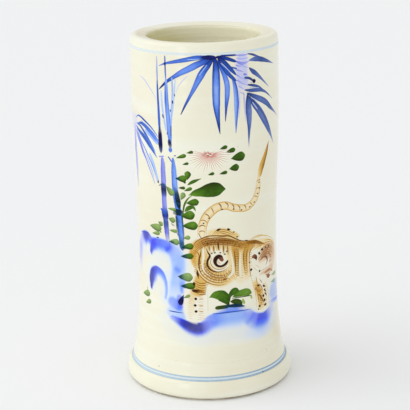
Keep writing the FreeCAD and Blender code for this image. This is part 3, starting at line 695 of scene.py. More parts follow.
TAIL += strokes("fur", "hair", (
    (0.7, (0.3, 0.42, 0.36, 0.4, 0.3, 0.36), ((-6.4, 115), (-6.2, 121.6), (-3.8, 129), (1.6, 135.6),
     (8, 138.8), (13.4, 139), (18.6, 137), (23, 135.9), (28, 135.4), (32, 137.2), (34.4, 139.8),
     (36.2, 143.8), (37, 150))),
    (0.7, (0.3, 0.42, 0.34, 0.4, 0.3), ((-0.8, 114.6), (-0.6, 120.4), (1, 126.2), (4.6, 130.6),
     (8.4, 133.2), (13, 133.8), (17.6, 132), (23, 131), (29, 130.8), (34, 132.8), (38.4, 137),
     (40.8, 142.6), (41.4, 150))),
    (0.9, (0.5, 0.66, 0.4), ((-5.8, 118.6), (-3.4, 119.6), (-1, 118.4))),
    (1, (0.66, 0.74, 0.5), ((-5.6, 122.4), (-3, 123.6), (-0.8, 122))),
    (0.9, (0.5, 0.66, 0.5), ((-4.6, 126.8), (-2, 127), (0.4, 124.8))),
    (1, (0.66, 0.7, 0.4), ((-1.6, 131.6), (0.6, 130.4), (2.4, 127.8))),
    (0.9, (0.5, 0.66, 0.4), ((2.8, 135.8), (4, 133.6), (4.8, 131))),
    (1.1, (0.66, 0.74, 0.4), ((7.8, 138.4), (9.6, 136.4), (9.4, 133.8))),
    (1, (0.6, 0.7, 0.4), ((12.2, 138.8), (14.6, 136.8), (14, 134))),
    (1, (0.5, 0.7, 0.44), ((17, 137.2), (18.8, 135), (18, 132.6))),
    (1, (0.5, 0.7, 0.4), ((21.4, 135.8), (23.4, 133.6), (22.8, 131.6))),
    (0.9, (0.6, 0.66, 0.4), ((26.4, 135.2), (28, 133.4), (28, 131.2))),
    (0.9, (0.4, 0.6, 0.4), ((31, 136.4), (32.8, 134.8), (34.2, 133))),
    (0.8, (0.4, 0.56, 0.4), ((34.4, 140), (36.8, 139.4), (39.2, 138.4))),
    (0.8, (0.4, 0.6, 0.4), ((36.4, 144.6), (38.8, 145), (41, 144.4))),
    (0.8, (0.36, 0.56, 0.4), ((37, 149.6), (39.4, 150.4), (41.4, 150))),
), pool=0)
FACE = strokes("fur", "hair", (
    (1.1, (0.55, 0.66, 0.66, 0.74, 0.66, 0.7, 0.5), ((-10, 108.6), (-8, 111.6), (-4, 114.2), (0, 115.7),
     (5, 115.9), (10, 115.5), (15, 115), (20, 112.4), (24, 110.4), (29, 109.5), (35, 107.9), (40, 106.2),
     (46, 103.4))),
    (0.7, (0.28, 0.26, 0.2), ((32, 110), (40, 110.4), (47, 109.4), (55, 105.8), (63, 100.8))),
    (0.8, (0.2, 0.4, 0.44, 0.3), ((33.4, 101.8), (39.6, 103.4), (49, 104), (57.8, 101.5), (61.6, 99))),
    (0.9, (0.45, 0.5), ((37, 82), (37.2, 79), (38.4, 76))), (0.7, (0.4, 0.35), ((40, 80), (43, 75.6))),
    (1.3, (0.6, 0.8, 0.6), ((10.4, 84.8), (13.4, 85))), (0.6, (0.5, 0.6), ((9.6, 83.6), (12.4, 84.6))),
    (0.6, (0.5, 0.6), ((12, 86.6), (12.2, 83.2))), (0.9, (0.8, 0.9, 0.8), ((27, 110.2), (29.6, 109.8))),
    (1.1, (0.7, 0.86, 0.7), ((38.6, 69.6), (41, 66.6), (43.6, 63.2))),
    (0.7, (0.16, 0.26, 0.26), ((31.8, 84), (33.6, 78.6), (36, 69), (37, 58.6))),
    (0.7, (0.16, 0.26, 0.26), ((46.6, 76), (49.4, 70), (50.6, 64), (48.6, 57))),
    (1, (0.4, 0.6, 0.4), ((40, 76.4), (42.6, 73), (43.4, 69.4))),
    (0.9, (0.4, 0.6, 0.4), ((37.6, 72), (38.6, 66), (39.6, 60.4))),
    (0.8, (0.36, 0.5, 0.36), ((30.6, 92), (31.2, 87), (32.4, 82))),
), pool=0.05, soft=0.25)
FACE += strokes("fur", "hair", [
    (0.75, (0.46, 0.62, 0.40), arc(CHEEK, 6.4 + 1.5 * k, 150 - 5 * k, 22 - 2 * k)) for k in range(5)
], pool=0.0, soft=0.25)
FACE += hairs((0.30, 0.46), arc(CHEEK, 9.4, 150, 24), 1.3, 4.6, 84, 0.5)
FACE += strokes("fur", "blot", (
    (2.1, 0.84, ((38.7, 99), (41.2, 97.8))), (2.1, 0.82, ((42, 100.9), (44.6, 99.9))),
    (1.5, 0.72, ((46.1, 101.5), (48.1, 100.6))), (1.5, 0.6, ((50.6, 101), (52.6, 100))),
    (1.4, 0.78, ((43.4, 74.7), (46.8, 72.5))), (1.5, 0.82, ((44.4, 71.2), (47.2, 68.9))),
    (1.5, 0.82, ((45.4, 68.6), (48, 65.8))), (2.3, 0.94, ((42.9, 67.2), (45.1, 66))),
    (2.3, 0.94, ((44, 63.8), (46.4, 62.6))), (1.8, 0.8, ((45.2, 60.4), (47.4, 59.2))),
    (1.8, 0.76, ((38.8, 61), (40.8, 59.8))), (1.3, 0.62, ((37.8, 58.5), (39.2, 57.9))),
    (1.8, 0.72, ((37.4, 75.6), (40.2, 75.2))),
), pool=0, soft=0.35)
FACE += strokes("fur", "hair", (
    (1.5, (0.6, 0.74, 0.7, 0.6), ((38.4, 69.6), (41, 66.8), (43, 63.6), (44.8, 61.2))),
    (1.6, (0.44, 0.52, 0.4), ((36.6, 72.4), (40, 71.2), (43.6, 72.2))),
    (1, (0.4, 0.5, 0.4), ((40, 68.2), (40.8, 64), (42, 60.4))),
    ((2, 3, 2.6, 1.6), (0.6, 0.64, 0.58, 0.5), ((28, 108.4), (36, 107.4), (43, 104.8), (47.4, 102.6))),
    (0.8, (0.26, 0.34, 0.2), ((33, 110.8), (40, 111.2), (46, 109.6), (49.4, 107.2))),
    (1, (0.24, 0.34, 0.3), ((46, 106.2), (53, 104.8), (60, 101.4))),
    (0.8, (0.34, 0.44, 0.3), ((55.4, 98), (57.4, 94.6), (57, 90.6))),
), pool=0, soft=0.3)
FACE += strokes("tan", "hair", (
    (1.8, (0.4, 0.56, 0.46), ((45, 82.6), (51, 83.2), (57.4, 81.6))),
    (1, (0.56, 0.66, 0.5), ((47, 81), (50, 80.4), (54, 81))),
    ((1.4, 3.2, 3.8, 2), (0.66, 0.8, 0.94, 0.9), ((32.4, 96.2), (35, 97.3), (37, 95.6), (36.9, 93.4))),
    (1.1, (0.5, 0.66, 0.62, 0.5), ((39, 93.6), (42.8, 97.2), (47.8, 99), (54, 99.3), (58.4, 97))),
    (1.1, (0.4, 0.66, 0.6, 0.44), ((40.2, 92.8), (44.6, 95.9), (50.2, 96.8), (55.2, 95.9), (58.4, 93))),
    ((0.9, 1.4, 2.2, 1.4), (0.5, 0.7, 0.84, 0.76),
     ((39.4, 92.2), (44.6, 94.5), (48.2, 93.8), (49.4, 91), (47.2, 87.8))),
    ((0.9, 1.5, 1), (0.5, 0.7, 0.56), ((50, 96.6), (53.2, 94.4), (53.6, 91), (52, 88.2))),
    (0.8, (0.4, 0.56, 0.44), ((41, 94.8), (46, 97.8), (52, 98.2), (57, 96.6))),
    (0.9, (0.4, 0.6, 0.4), ((46, 95.2), (51, 95.2), (54.6, 93), (55.4, 89.6))),
    (0.8, (0.3, 0.46, 0.3), ((52, 92.2), (58, 91.6))), (0.8, (0.3, 0.46, 0.3), ((51, 89.4), (57.6, 89))),
    (0.8, (0.3, 0.5, 0.4), ((44, 101.6), (51, 102.2), (58, 99.8))),
    (0.7, (0.3, 0.4), ((41, 85.2), (50, 85.6), (57, 86.4))),
    ((1.6, 3.2, 2), (0.6, 0.76, 0.6), ((48, 79.8), (51, 78.8), (54.2, 79.2))),
    (1, (0.5, 0.6, 0.4), ((46.6, 82), (52, 83.8), (57.6, 81.8))),
    (0.8, (0.56, 0.66), ((55.4, 82), (57.8, 80.2))), (2.2, (0.44, 0.6, 0.5), ((35.2, 74.4), (38, 72.6))),
    (0.9, (0.5, 0.66), ((40.6, 79), (43, 76.4))), (0.6, (0.2, 0.3), ((34, 90), (38, 86))),
    (0.6, (0.2, 0.3), ((36, 91), (41, 87.6))),
), pool=0.05, soft=0.25)
RESERVES = strokes("cream", "line", (
    ((0.4, 1.9, 2.2, 1.7, 1.2, 0.7), (0.2, 0.24, 0.34, 0.45),
     ((-2.8, 109), (-3, 104.6), (-2.9, 101), (-3.7, 96), (-2.2, 90.6), (1.4, 87.8))),
    ((0.3, 1.4, 1.9), (0.3, 0.2), ((2.4, 108.8), (2.8, 105.6), (3.6, 102.8))),
    ((0.3, 1.4, 1.7), (0.3, 0.2), ((5.6, 108.2), (5.8, 104.4), (6.6, 103.2))),
    ((0.3, 1.5, 2), (0.3, 0.2), ((9.3, 109.2), (9.4, 105.6), (9.6, 103))),
    ((0.3, 1.2, 1.6), (0.3, 0.2), ((12.4, 107.4), (12.6, 104.8), (12.6, 102.6))),
    ((0.4, 1.6, 2, 2.4, 2.4), (0.4, 0.3, 0.26, 0.24),
     ((15.8, 106), (16.7, 100), (17.6, 94), (16.8, 88), (13.6, 85.6))),
    ((0.6, 2, 2.4, 2.4), (0.4, 0.3, 0.24), ((23.4, 103), (23, 95), (23.2, 88), (24, 84.4))),
    (2.2, (0.12, 0.16, 0.12), arc((8.8, 98.2), 6.8, 80, 336)),
), pool=0)
STRIPES = strokes("fur", "hair", (
    ((0.9, 1.2, 1.3, 1.1, 0.8), (0.6, 0.7, 0.74, 0.66, 0.5),
     ((-4.4, 108), (-4.7, 103.6), (-5.8, 99), (-6, 94), (-4, 88.6), (-0.4, 85.4))),
    ((1.1, 1.8, 1.7, 1.5, 1.2, 0.8), (0.8, 0.86, 0.82, 0.76, 0.7, 0.6), ((-0.9, 107.4), (0.4, 104),
     (1.6, 102.2), (0, 99), (-0.4, 96), (1.4, 92.6), (6, 90.4), (11, 91.2), (14.4, 93.4))),
    (0.8, (0.46, 0.56, 0.5), ((2.6, 101), (1.9, 97), (3.6, 93.8), (7, 92.2), (11, 92.6), (14, 95.2))),
    (1.3, (0.6, 0.84, 0.86), ((7.4, 112), (7.3, 108.6), (7.9, 105.2))),
    (1, (0.6, 0.76), ((4.1, 109.4), (4.4, 103.8))), (0.9, (0.6, 0.76), ((1, 109.2), (1.3, 105.4))),
    (1, (0.6, 0.8), ((10.9, 109.4), (11, 103))), (1, (0.55, 0.78), ((13.9, 109), (14.2, 101.6))),
    (1.1, (0.6, 0.7, 0.5), ((18.6, 105), (19.2, 99), (19.4, 93), (19.6, 87))),
    (0.8, (0.5, 0.66, 0.4), ((21.6, 105), (21.6, 97), (22, 88))),
    ((0.9, 2.2, 0.8), (0.66, 0.86, 0.6), ((-7.4, 92.4), (-7, 88.6), (-6.4, 85.4))),
    ((1, 2.4, 1.2), (0.75, 0.9, 0.7), ((-9.9, 83.6), (-9.5, 80))),
    (2.6, (0.8, 0.84, 0.56, 0.4), ((-11.6, 77.2), (-9, 77), (-6, 76.8), (-2, 77.6))),
    (1.1, (0.46, 0.62, 0.6, 0.4), ((27.2, 105.6), (26, 101), (26, 95), (26.8, 87))),
    (1, (0.46, 0.6, 0.54, 0.36), ((30.4, 105.6), (28.6, 101), (28.4, 95), (29, 87))),
    (1, (0.46, 0.56, 0.44, 0.3), ((34.4, 104.6), (31.4, 101.4), (30.6, 95), (30.9, 88))),
    (0.9, (0.45, 0.5, 0.4), ((34.6, 107.6), (29.4, 106), (25.6, 102.6))),
    (0.9, (0.6, 0.7, 0.6), ((2.4, 113.6), (8, 112.6), (15, 112.2), (22, 109.4))),
    (0.9, (0.46, 0.6, 0.5), ((-8.6, 106), (-6, 103), (-6.6, 98))),
), pool=0.05, soft=0.25)


def haunch():
    """Hatching of the haunch: rings about the spiral, ticks down the leg and rows over the back."""
    rows = [
        (0.8, (0.44, 0.62, 0.56), arc(HAUNCH, 10.8 + 1.7 * k, 190 + 2 * k, 304 - 5 * k)) for k in range(5)
    ]
    for k in range(6):
        down = 1.6 * k
        leg = ((-9.4, 84.4 - down), (-6, 82.6 - down), (-1.4, 82.8 - down), (3 - down, 84.2 - down))
        rows.append((0.8, (0.50, 0.66, 0.50), leg))
    for k in range(4):
        down = 1.5 * k
        back = ((-8.6, 108.6 - down), (-3, 113 - down), (5, 114.4 - down), (14, 113.2 - down),
                (25, 108.8 - 0.7 * down))
        rows.append((0.8, (0.55, 0.72, 0.66), back))
        rump = ((3.4 + down, 116.6), (7, 119.8 - 0.8 * down), (13, 119.4 - down), (19.6 - down, 115.2))
        rows.append((0.8, (0.40, 0.56, 0.50), rump))
    lines = strokes("fur", "hair", rows, pool=0.0, soft=0.25)
    pale = [(0.6, (0.10, 0.04), arc(HAUNCH, 11.6 + 1.7 * k, 192 + 2 * k, 300 - 5 * k)) for k in range(4)]
    return lines + strokes("cream", "hair", pale, pool=0.0, soft=0.25, cover=0.8)


SPIRAL = strokes("fur", "line", (
    ((2.4, 3.4, 3.2, 2.2, 1.9, 2.2, 3), (0.8, 0.92, 0.95, 0.9, 0.86, 0.9, 0.95),
     ((10.4, 99.6), (8.6, 101.3), (6, 100.6), (4.9, 98), (6.2, 95), (9.2, 94.2), (12, 95.4), (14.1, 98.2))),
), pool=0, soft=0.3)
SPIRAL += strokes("tan", "line", (
    (3, (0.9, 0.82, 0.7), ((7.6, 99.8), (9.6, 99.2), (9.8, 97.4))),
    ((0.8, 1.6, 0.8), (0.2, 0.26), ((6.9, 99), (7.2, 97.2), (9, 96.2))),
), pool=0, soft=0.3)
FUR = [hair for row in (
    ((0.48, 0.66), arc(HAUNCH, 12.6, 180, 312), 1.2, 6.8, 90, 0.75),
    ((0.40, 0.56), arc(HAUNCH, 8.6, 160, 300), 1.3, 1.8, 90, 0.6),
    ((0.40, 0.52), ((-8.6, 106), (-9, 100), (-8, 90)), 1.3, 3.4, 110, 0.7),
    ((0.56, 0.76), ((-3, 110.4), (6, 111.6), (14, 111), (23, 107.6)), 1.25, 5.4, 112, 0.8),
    ((0.50, 0.66), ((20.4, 105), (20.6, 96), (21.4, 86)), 1.3, 4.0, 80, 0.8),
    ((0.36, 0.50), ((17.6, 105), (17.8, 96), (16.4, 87)), 1.3, 2.8, 84, 0.6),
    ((0.24, 0.40), ((23.4, 103), (23.6, 94), (24.4, 84)), 1.4, 3.4, 96, 0.6),
    ((0.46, 0.62), ((28, 105), (27.2, 96), (28, 86)), 1.3, 3.6, 76, 0.7),
    ((0.30, 0.46), ((31.8, 103), (31.6, 94), (31.4, 84)), 1.5, 3.2, 84, 0.6),
    ((0.50, 0.66), ((25, 107.6), (33, 107.4), (42, 104)), 1.3, 4.0, 118, 0.7),
    ((0.30, 0.44), ((36, 105), (46, 103.6), (57, 99.6)), 1.6, 3.4, 70, 0.6),
    ((0.20, 0.30), ((11, 89), (15, 87), (20, 84.6)), 1.5, 4.4, 100, 0.6),
    ((0.44, 0.62), ((37.2, 76), (40.6, 69), (42, 61)), 1.4, 4.6, 70, 0.7),
    ((0.36, 0.50), ((45.4, 75), (47.8, 67), (46.6, 59)), 1.5, 3.2, 60, 0.6),
    ((0.30, 0.46), ((42, 95), (49, 98.4), (57, 96.6)), 1.5, 6.0, 64, 0.6, "tan"),
    ((0.24, 0.36), ((41, 83), (48, 83.6), (57, 84.6)), 1.6, 3.4, 40, 0.6, "tan"),
    ((0.30, 0.42), ((-5, 75), (-5.4, 66), (-5, 57)), 1.5, 5.4, 90, 0.6, "tan", 0.55),
    ((0.26, 0.36), ((-12.6, 74), (-13.6, 65), (-12.4, 57)), 1.6, 3.0, 90, 0.6, "tan", 0.55),
) for hair in hairs(*row)]
SPOTS = dots(1.2, 0.86, 0.8, 0.2, (
    (-2.4, 124.8), (1.4, 128.4), (10.3, 134), (18.6, 133.3), (24.4, 132), (31.4, 133), (35.4, 135.6),
    (38.4, 141), (40.3, 144.4), (39.6, 148.6), (15.4, 119.4), (18.5, 117.3), (21, 113.7), (46.8, 100.8),
    (51.5, 100.5), (30.9, 93.7), (45.6, 70.9), (46.2, 68), (38.4, 58.4), (2.8, 103.8), (5, 104),
    (8.6, 103.9), (11.8, 102.6), (13.2, 104.4), (0, 110.4),
))
SPOTS += dots(2.2, 1.0, 1.2, 0, (
    (-8.7, 71.3), (-9.2, 66.6), (-8.6, 62.3), (32.2, 88.3), (44, 66.5), (45, 63.1),
))
SPOTS += dots(1.8, 0.88, 1.1, -0.4, (
    (42.8, 100.2), (40, 98), (39.3, 75.3), (44.6, 73.4), (39.4, 60.2), (45.2, 59.6), (14.6, 119.7),
))
SPOTS += dots(1.0, 0.40, 1.6, 0, ((-5, 71.3), (-5, 66.5), (-5, 62.3)))
SPOTS += strokes("fur", "blot", (
    (2, 0.92, ((39.4, 85.6), (41.4, 85.2))), (1.8, 0.9, ((6, 119.4), (9.4, 120.6))),
))


LAYERS = {
    "painted_ring_lines": RINGS,
    "painted_bamboo_stems": STEMS,
    "painted_twigs": TWIGS,
    "painted_bamboo_leaves": LEFT_LEAVES + TOP_LEAVES + RIGHT_LEAVES,
    "painted_ground_lines": RIMS,
    "painted_green_leaves": GREENS + BIG_LEAF + TUFT,
    "painted_chrysanthemum": FLOWER,
    "painted_tiger": TAIL + haunch() + FUR + RESERVES + STRIPES + SPIRAL + FACE + SPOTS,
}
ALL_WASHES = ROCKS + GROUND + PAWS + COAT + LIP_TINTS_AND_PAINTED_SHADE


# Sizes and colours that a user would change
def light_colour(red, green, blue):
    """A colour from 0 to 255 as a default for a colour property."""
    return tuple(float(part) for part in linear((red, green, blue)))


class PotSizes(bpy.types.PropertyGroup):
    """How finely the pot is meshed and how thickly it is painted."""

    column_step: FloatProperty(
        name="Column step", description="Width of one column of faces where the pot is painted",
        default=0.0008, unit="LENGTH",
    )
    back_columns: IntProperty(
        name="Back columns", description="Columns of faces round the plain back", default=52, min=12
    )
    inner_columns: IntProperty(
        name="Inner columns", description="Columns of faces round the brush well", default=144, min=24
    )
    ring_depth: FloatProperty(
        name="Throwing rings", description="Depth of the faint rings left by throwing", default=0.00006,
        unit="LENGTH",
    )
    wobble: FloatProperty(
        name="Wobble", description="How far the thrown wall strays from round", default=0.00015, unit="LENGTH"
    )
    cobalt_lift: FloatProperty(
        name="Cobalt lift", description="How far cobalt strokes stand off the wall", default=0.00006,
        unit="LENGTH",
    )
    enamel_lift: FloatProperty(
        name="Enamel lift", description="How far enamel strokes stand off the wall", default=0.00018,
        unit="LENGTH",
    )
    coat_lift: FloatProperty(
        name="Stroke lift", description="How far a stroke stands off the one it crosses", default=0.00002,
        unit="LENGTH",
    )


class PotColours(bpy.types.PropertyGroup):
    """Colours of the glazes and the bare clay."""

    glaze: FloatVectorProperty(
        name="Glaze", description="Cream glaze on the wall", subtype="COLOR",
        default=light_colour(241, 239, 217),
    )
    glaze_warm: FloatVectorProperty(
        name="Warm glaze", description="Where the glaze pools or the kiln scorched it", subtype="COLOR",
        default=light_colour(232, 222, 196),
    )
    glaze_pale: FloatVectorProperty(
        name="Pale glaze", description="Where the glaze is thickest, near the foot", subtype="COLOR",
        default=light_colour(244, 246, 234),
    )
    # Painted light: the glaze in the well is paler than the outer glaze, to make up for the dimmer light in
    # the well
    glaze_inside: FloatVectorProperty(
        name="Inner glaze", description="Glaze in the brush well", subtype="COLOR",
        default=light_colour(251, 248, 223),
    )
    # Painted shade: the olive colour that darkens the left side of the well, where the light does not reach
    glaze_painted_shade: FloatVectorProperty(
        name="Shaded glaze", description="Olive glaze on the side of the well that the flame passed",
        subtype="COLOR", default=light_colour(222, 215, 168),
    )
    speck: FloatVectorProperty(
        name="Iron speck", description="Specks of iron in the glaze", subtype="COLOR",
        default=light_colour(132, 116, 96),
    )
    clay: FloatVectorProperty(
        name="Clay", description="Bare fired clay", subtype="COLOR", default=light_colour(206, 198, 180)
    )
    clay_grit: FloatVectorProperty(
        name="Grit", description="Sand and scorch on the bare clay", subtype="COLOR",
        default=light_colour(150, 134, 108),
    )


class PotStage(bpy.types.PropertyGroup):
    """Where the pot is seen from and how it is lit."""

    camera_far: FloatProperty(
        name="Distance", description="From the aim to the camera", default=0.945, unit="LENGTH"
    )
    camera_pitch: FloatProperty(
        name="Pitch", description="How steeply the camera looks down", default=math.radians(16.11),
        subtype="ANGLE",
    )
    camera_roll: FloatProperty(
        name="Roll", description="Lean of the camera", default=math.radians(-0.986), subtype="ANGLE"
    )
    aim_side: FloatProperty(
        name="Aim across", description="Aim beside the axis", default=-0.0012, unit="LENGTH"
    )
    aim_up: FloatProperty(name="Aim height", description="Aim above the table", default=0.1233, unit="LENGTH")
    lens: FloatProperty(name="Lens", description="Focal length in millimetres", default=118.4)
    floor: FloatVectorProperty(
        name="Floor", description="Colour of the table", subtype="COLOR", default=light_colour(246, 247, 248)
    )
    key: FloatProperty(name="Key light", description="Strength of the soft light from the left", default=0.74)
    window: FloatProperty(
        name="Window", description="Strength of the tall soft light near the camera", default=2.2
    )
    sky: FloatProperty(name="Sky", description="Strength of the light from all sides", default=0.8)


def settings(name):
    """One of the pot's groups of settings."""
    return getattr(bpy.context.scene, name)


# The pot's own surface
def coat_section(node):
    """A glaze coat cut down its middle: the loop of its section on the front side, as (radius, height)."""
    cut = bmesh.new()
    cut.from_mesh(frame["nodes"][node].data)
    bmesh.ops.remove_doubles(cut, verts=cut.verts, dist=WELD)
    for normal, cleared in ((Vector((0, 1, 0)), True), (Vector((1, 0, 0)), False)):
        everything = cut.verts[:] + cut.edges[:] + cut.faces[:]
        found = bmesh.ops.bisect_plane(
            cut, geom=everything, dist=WELD, plane_co=(0, 0, 0), plane_no=normal, clear_outer=cleared
        )
    beside = {}
    for edge in found["geom_cut"]:
        if isinstance(edge, bmesh.types.BMEdge):
            for here, there in (edge.verts, reversed(edge.verts)):
                beside.setdefault(here, []).append(there)
    ends = [vertex for vertex, others in beside.items() if len(others) == 1]
    walk = [ends[0] if ends else next(iter(beside))]
    while True:
        onward = [vertex for vertex in beside[walk[-1]] if vertex not in walk[-2:]]
        if not onward or onward[0] is walk[0]:
            break
        walk.append(onward[0])
    loop = np.array([(abs(vertex.co.y), vertex.co.z) for vertex in walk])
    cut.free()
    return loop


def two_sides(loop, start, end):
    """A loop's two routes from near one point to near another, the shorter one first."""
    first = int(np.argmin(np.hypot(*(loop - start).T)))
    loop = np.roll(loop, -first, axis=0)
    last = int(np.argmin(np.hypot(*(loop - end).T)))
    routes = [loop[: last + 1], np.vstack([loop[last:], loop[:1]])[::-1]]
    return sorted(routes, key=lambda route: np.hypot(*np.diff(route, axis=0).T).sum())


def thinned(route, gaps):
    """A route without the points that lie closer to the last one kept than the gap at their place."""
    kept = [route[0]]
    for point, gap in zip(route[1:-1], np.broadcast_to(gaps, len(route))[1:-1]):
        if np.hypot(*(point - kept[-1])) >= gap and np.hypot(*(point - route[-1])) >= gap:
            kept.append(point)
    return np.array([*kept, route[-1]])


def divided(route, step):
    """A route with even points added on its long straight runs."""
    parts = []
    for start, end in zip(route, route[1:]):
        count = math.ceil(np.hypot(*(end - start)) / step)
        parts.append(start + (end - start) * np.arange(count)[:, None] / count)
    return np.vstack([*parts, route[-1:]])


# The two coats' sections, in metres, and where their skins start and end. A skin is the side that shows.
SKIN_GAP, SKIN_STEP = 0.35 * MM, 0.8 * MM
OUTER_LOOP = coat_section("outer_glaze")
INNER_LOOP = coat_section("inner_glaze")
COATS_MEET = INNER_LOOP[INNER_LOOP[:, 1] > INNER_LOOP[:, 1].max() - WELD].min(0)
FOOT_EDGE = OUTER_LOOP[OUTER_LOOP[:, 1] < OUTER_LOOP[:, 1].min() + WELD].max(0)
WELL_MIDDLE = np.array((0, INNER_LOOP[INNER_LOOP[:, 0] < WELD, 1].max()))
OUTER_HIDDEN, OUTER_SKIN = two_sides(OUTER_LOOP, FOOT_EDGE, COATS_MEET)
INNER_SKIN, INNER_HIDDEN = two_sides(INNER_LOOP, COATS_MEET, WELL_MIDDLE)
OUTER_SKIN = smooth_path(thinned(OUTER_SKIN, SKIN_GAP), SKIN_STEP)
LIP_TOP = OUTER_SKIN[:, 1].max()
WALL = OUTER_SKIN[: int(np.argmax(OUTER_SKIN[:, 1]))]


def thrown_off(turn, height):
    """How far the hand-thrown wall strays from its outline, outwards, in metres.

    Rings rise round it, one every centimetre, and it is a little oval. Both die away at foot and lip.
    """
    sizes = settings("pot_sizes")
    up = height / MM
    rings = np.sin(up / 1.55 + 0.7 * np.sin(turn)) * (0.55 + 0.45 * np.sin(up / 11 + 0.8 * turn))
    wobble = 0.7 * np.sin(2 * turn + 0.9 + up / 95) + 0.3 * np.sin(3 * turn - 1.1 - up / 60)
    inside_wall = np.clip((up - 17) / 6, 0, 1) * np.clip((LIP_TOP / MM - 4 - up) / 5, 0, 1)
    return (sizes.ring_depth * rings + sizes.wobble * wobble) * inside_wall


def wall_place(round_, up, lift):
    """Points on the wall for places on the drawing sheet, standing off it by a lift in metres."""
    turn = np.asarray(round_, float) / SHEET_TURN
    height = np.asarray(up, float) * UNIT
    radius = np.interp(height, WALL[:, 1], WALL[:, 0]) + thrown_off(turn, height) + lift
    return np.stack(np.broadcast_arrays(radius * np.sin(turn), -radius * np.cos(turn), height), -1)


# Making pieces
SHARP_EDGE = math.radians(50)
STREAK_SHIFT = 3.7


def deselect_all():
    """Leaves nothing selected, so that an operator works on its own piece alone."""
    for other in bpy.context.view_layer.objects:
        other.select_set(False)


def finish_piece(piece, name, material, replaced=()):
    """Names a piece, gives it its material and ties it to the pot's body."""
    piece.name = piece.data.name = name
    piece.data.materials.clear()
    piece.data.materials.append(material)
    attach(piece, "root")
    for node in replaced:
        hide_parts(node)
    return piece


def spun(loop, closed, turns):
    """A section turned about the pot's axis. Each turn is (from, to, columns), in radians from the front."""
    deselect_all()
    bpy.ops.mesh.primitive_circle_add(vertices=len(loop), radius=1, fill_type="NOTHING")
    piece = bpy.context.object
    start = turns[0][0]
    direction = np.array((math.sin(start), -math.cos(start), 0))
    corners = loop[:, :1] * direction + loop[:, 1:] * np.array((0, 0, 1))
    piece.data.vertices.foreach_set("co", corners.astype(np.float32).ravel())
    bpy.ops.object.transform_apply(location=True, rotation=True, scale=True)
    bpy.ops.object.mode_set(mode="EDIT")
    if not closed:
        section = bmesh.from_edit_mesh(piece.data)
        joint = [edge for edge in section.edges if {v.index for v in edge.verts} == {0, len(loop) - 1}]
        bmesh.ops.delete(section, geom=joint, context="EDGES")
        bmesh.update_edit_mesh(piece.data)
    bpy.ops.mesh.select_all(action="SELECT")
    for begin, end, columns in turns:
        bpy.ops.mesh.spin(steps=columns, angle=begin - end, center=(0, 0, 0), axis=(0, 0, 1))
    bpy.ops.mesh.select_all(action="SELECT")
    bpy.ops.mesh.remove_doubles(threshold=WELD)
    bpy.ops.mesh.normals_make_consistent(inside=False)
    bpy.ops.object.mode_set(mode="OBJECT")
    return piece


def places_of(piece):
    """The places of a piece's vertices, their distance from the axis and their turn from the front."""
    places = np.zeros(len(piece.data.vertices) * 3, np.float32)
    piece.data.vertices.foreach_get("co", places)
    places = places.reshape(-1, 3).astype(float)
    return places, np.hypot(places[:, 0], places[:, 1]), np.arctan2(places[:, 0], -places[:, 1])


def push_out(piece, places, radius, distance):
    """Moves the vertices of a piece, and the given places with them, away from the axis."""
    places[:, :2] *= (1 + distance / np.maximum(radius, WELD))[:, None]
    piece.data.vertices.foreach_set("co", places.astype(np.float32).ravel())


def shade_softly(piece):
    """Smooth shading, broken only at sharp edges."""
    deselect_all()
    piece.select_set(True)
    bpy.context.view_layer.objects.active = piece
    bpy.ops.object.shade_smooth_by_angle(angle=SHARP_EDGE)


def painted_piece(name, rows, lift, material):
    """All strokes of one group as one piece, each laid over those that it crosses.

    Each takes its streaks from another part of the noise.
    """
    sizes = settings("pot_sizes")
    places, colours, brushed, faces, heights = [], [], [], [], []
    count = 0
    for k, stroke in enumerate(rows):
        place, colour, brush = stroke_ribbon(stroke)
        middle = (place[:, 0] + place[:, -1]) / 2
        half = np.hypot(*(place[:, 0] - middle).T).max()
        below = [coat for other, width, coat in heights if crossing(middle, half, other, width)]
        coat = max(below, default=-1) + 1
        heights.append((middle, half, coat))
        rows_of, columns = place.shape[:2]
        places.append(wall_place(place[..., 0], place[..., 1], lift + coat * sizes.coat_lift).reshape(-1, 3))
        colours.append(colour.reshape(-1, 4))
        brushed.append(brush.reshape(-1, 2) + k * STREAK_SHIFT)
        here = count + np.arange(rows_of * columns).reshape(rows_of, columns)
        quads = np.stack([here[:-1, :-1], here[:-1, 1:], here[1:, 1:], here[1:, :-1]], -1)
        faces.append(quads.reshape(-1, 4))
        count += rows_of * columns
    mesh = bpy.data.meshes.new(name)
    mesh.from_pydata(np.vstack(places).tolist(), [], np.vstack(faces).tolist())
    tint = mesh.attributes.new("pigment", "FLOAT_COLOR", "POINT")
    tint.data.foreach_set("color", np.vstack(colours).astype(np.float32).ravel())
    marks = mesh.uv_layers.new(name="brushed")
    corner = np.zeros(len(mesh.loops), np.int32)
    mesh.loops.foreach_get("vertex_index", corner)
    marks.data.foreach_set("uv", np.vstack(brushed)[corner].astype(np.float32).ravel())
    mesh.shade_smooth()
    piece = bpy.data.objects.new(name, mesh)
    bpy.context.scene.collection.objects.link(piece)
    piece.visible_shadow = piece.visible_diffuse = False
    return finish_piece(piece, name, material)


def crossing(line, half, other, other_half):
    """Whether two strokes touch anywhere on the sheet."""
    reach = half + other_half
    low, high = line.min(0) - reach, line.max(0) + reach
    near = other[((other > low) & (other < high)).all(1)]
    if not len(near):
        return False
    return bool((np.hypot(*(line[:, None] - near[None]).transpose(2, 0, 1)) < reach).any())


# Materials
COLOUR, VALUE, VECTOR = "NodeSocketColor", "NodeSocketFloat", "NodeSocketVector"
WHITE = (1, 1, 1, 1)
ORIGIN = (0, 0, 0)
GLAZE_IOR, PAINT_IOR = 1.42, 1.22
PAINT_ROUGHNESS = 0.16
# Painted shade darkens the well's left side, where the light from the left does not reach, in metres across
# from the axis: where it starts and is full
PAINTED_SHADE_STARTS, PAINTED_SHADE_FULL = 0.004, -0.032


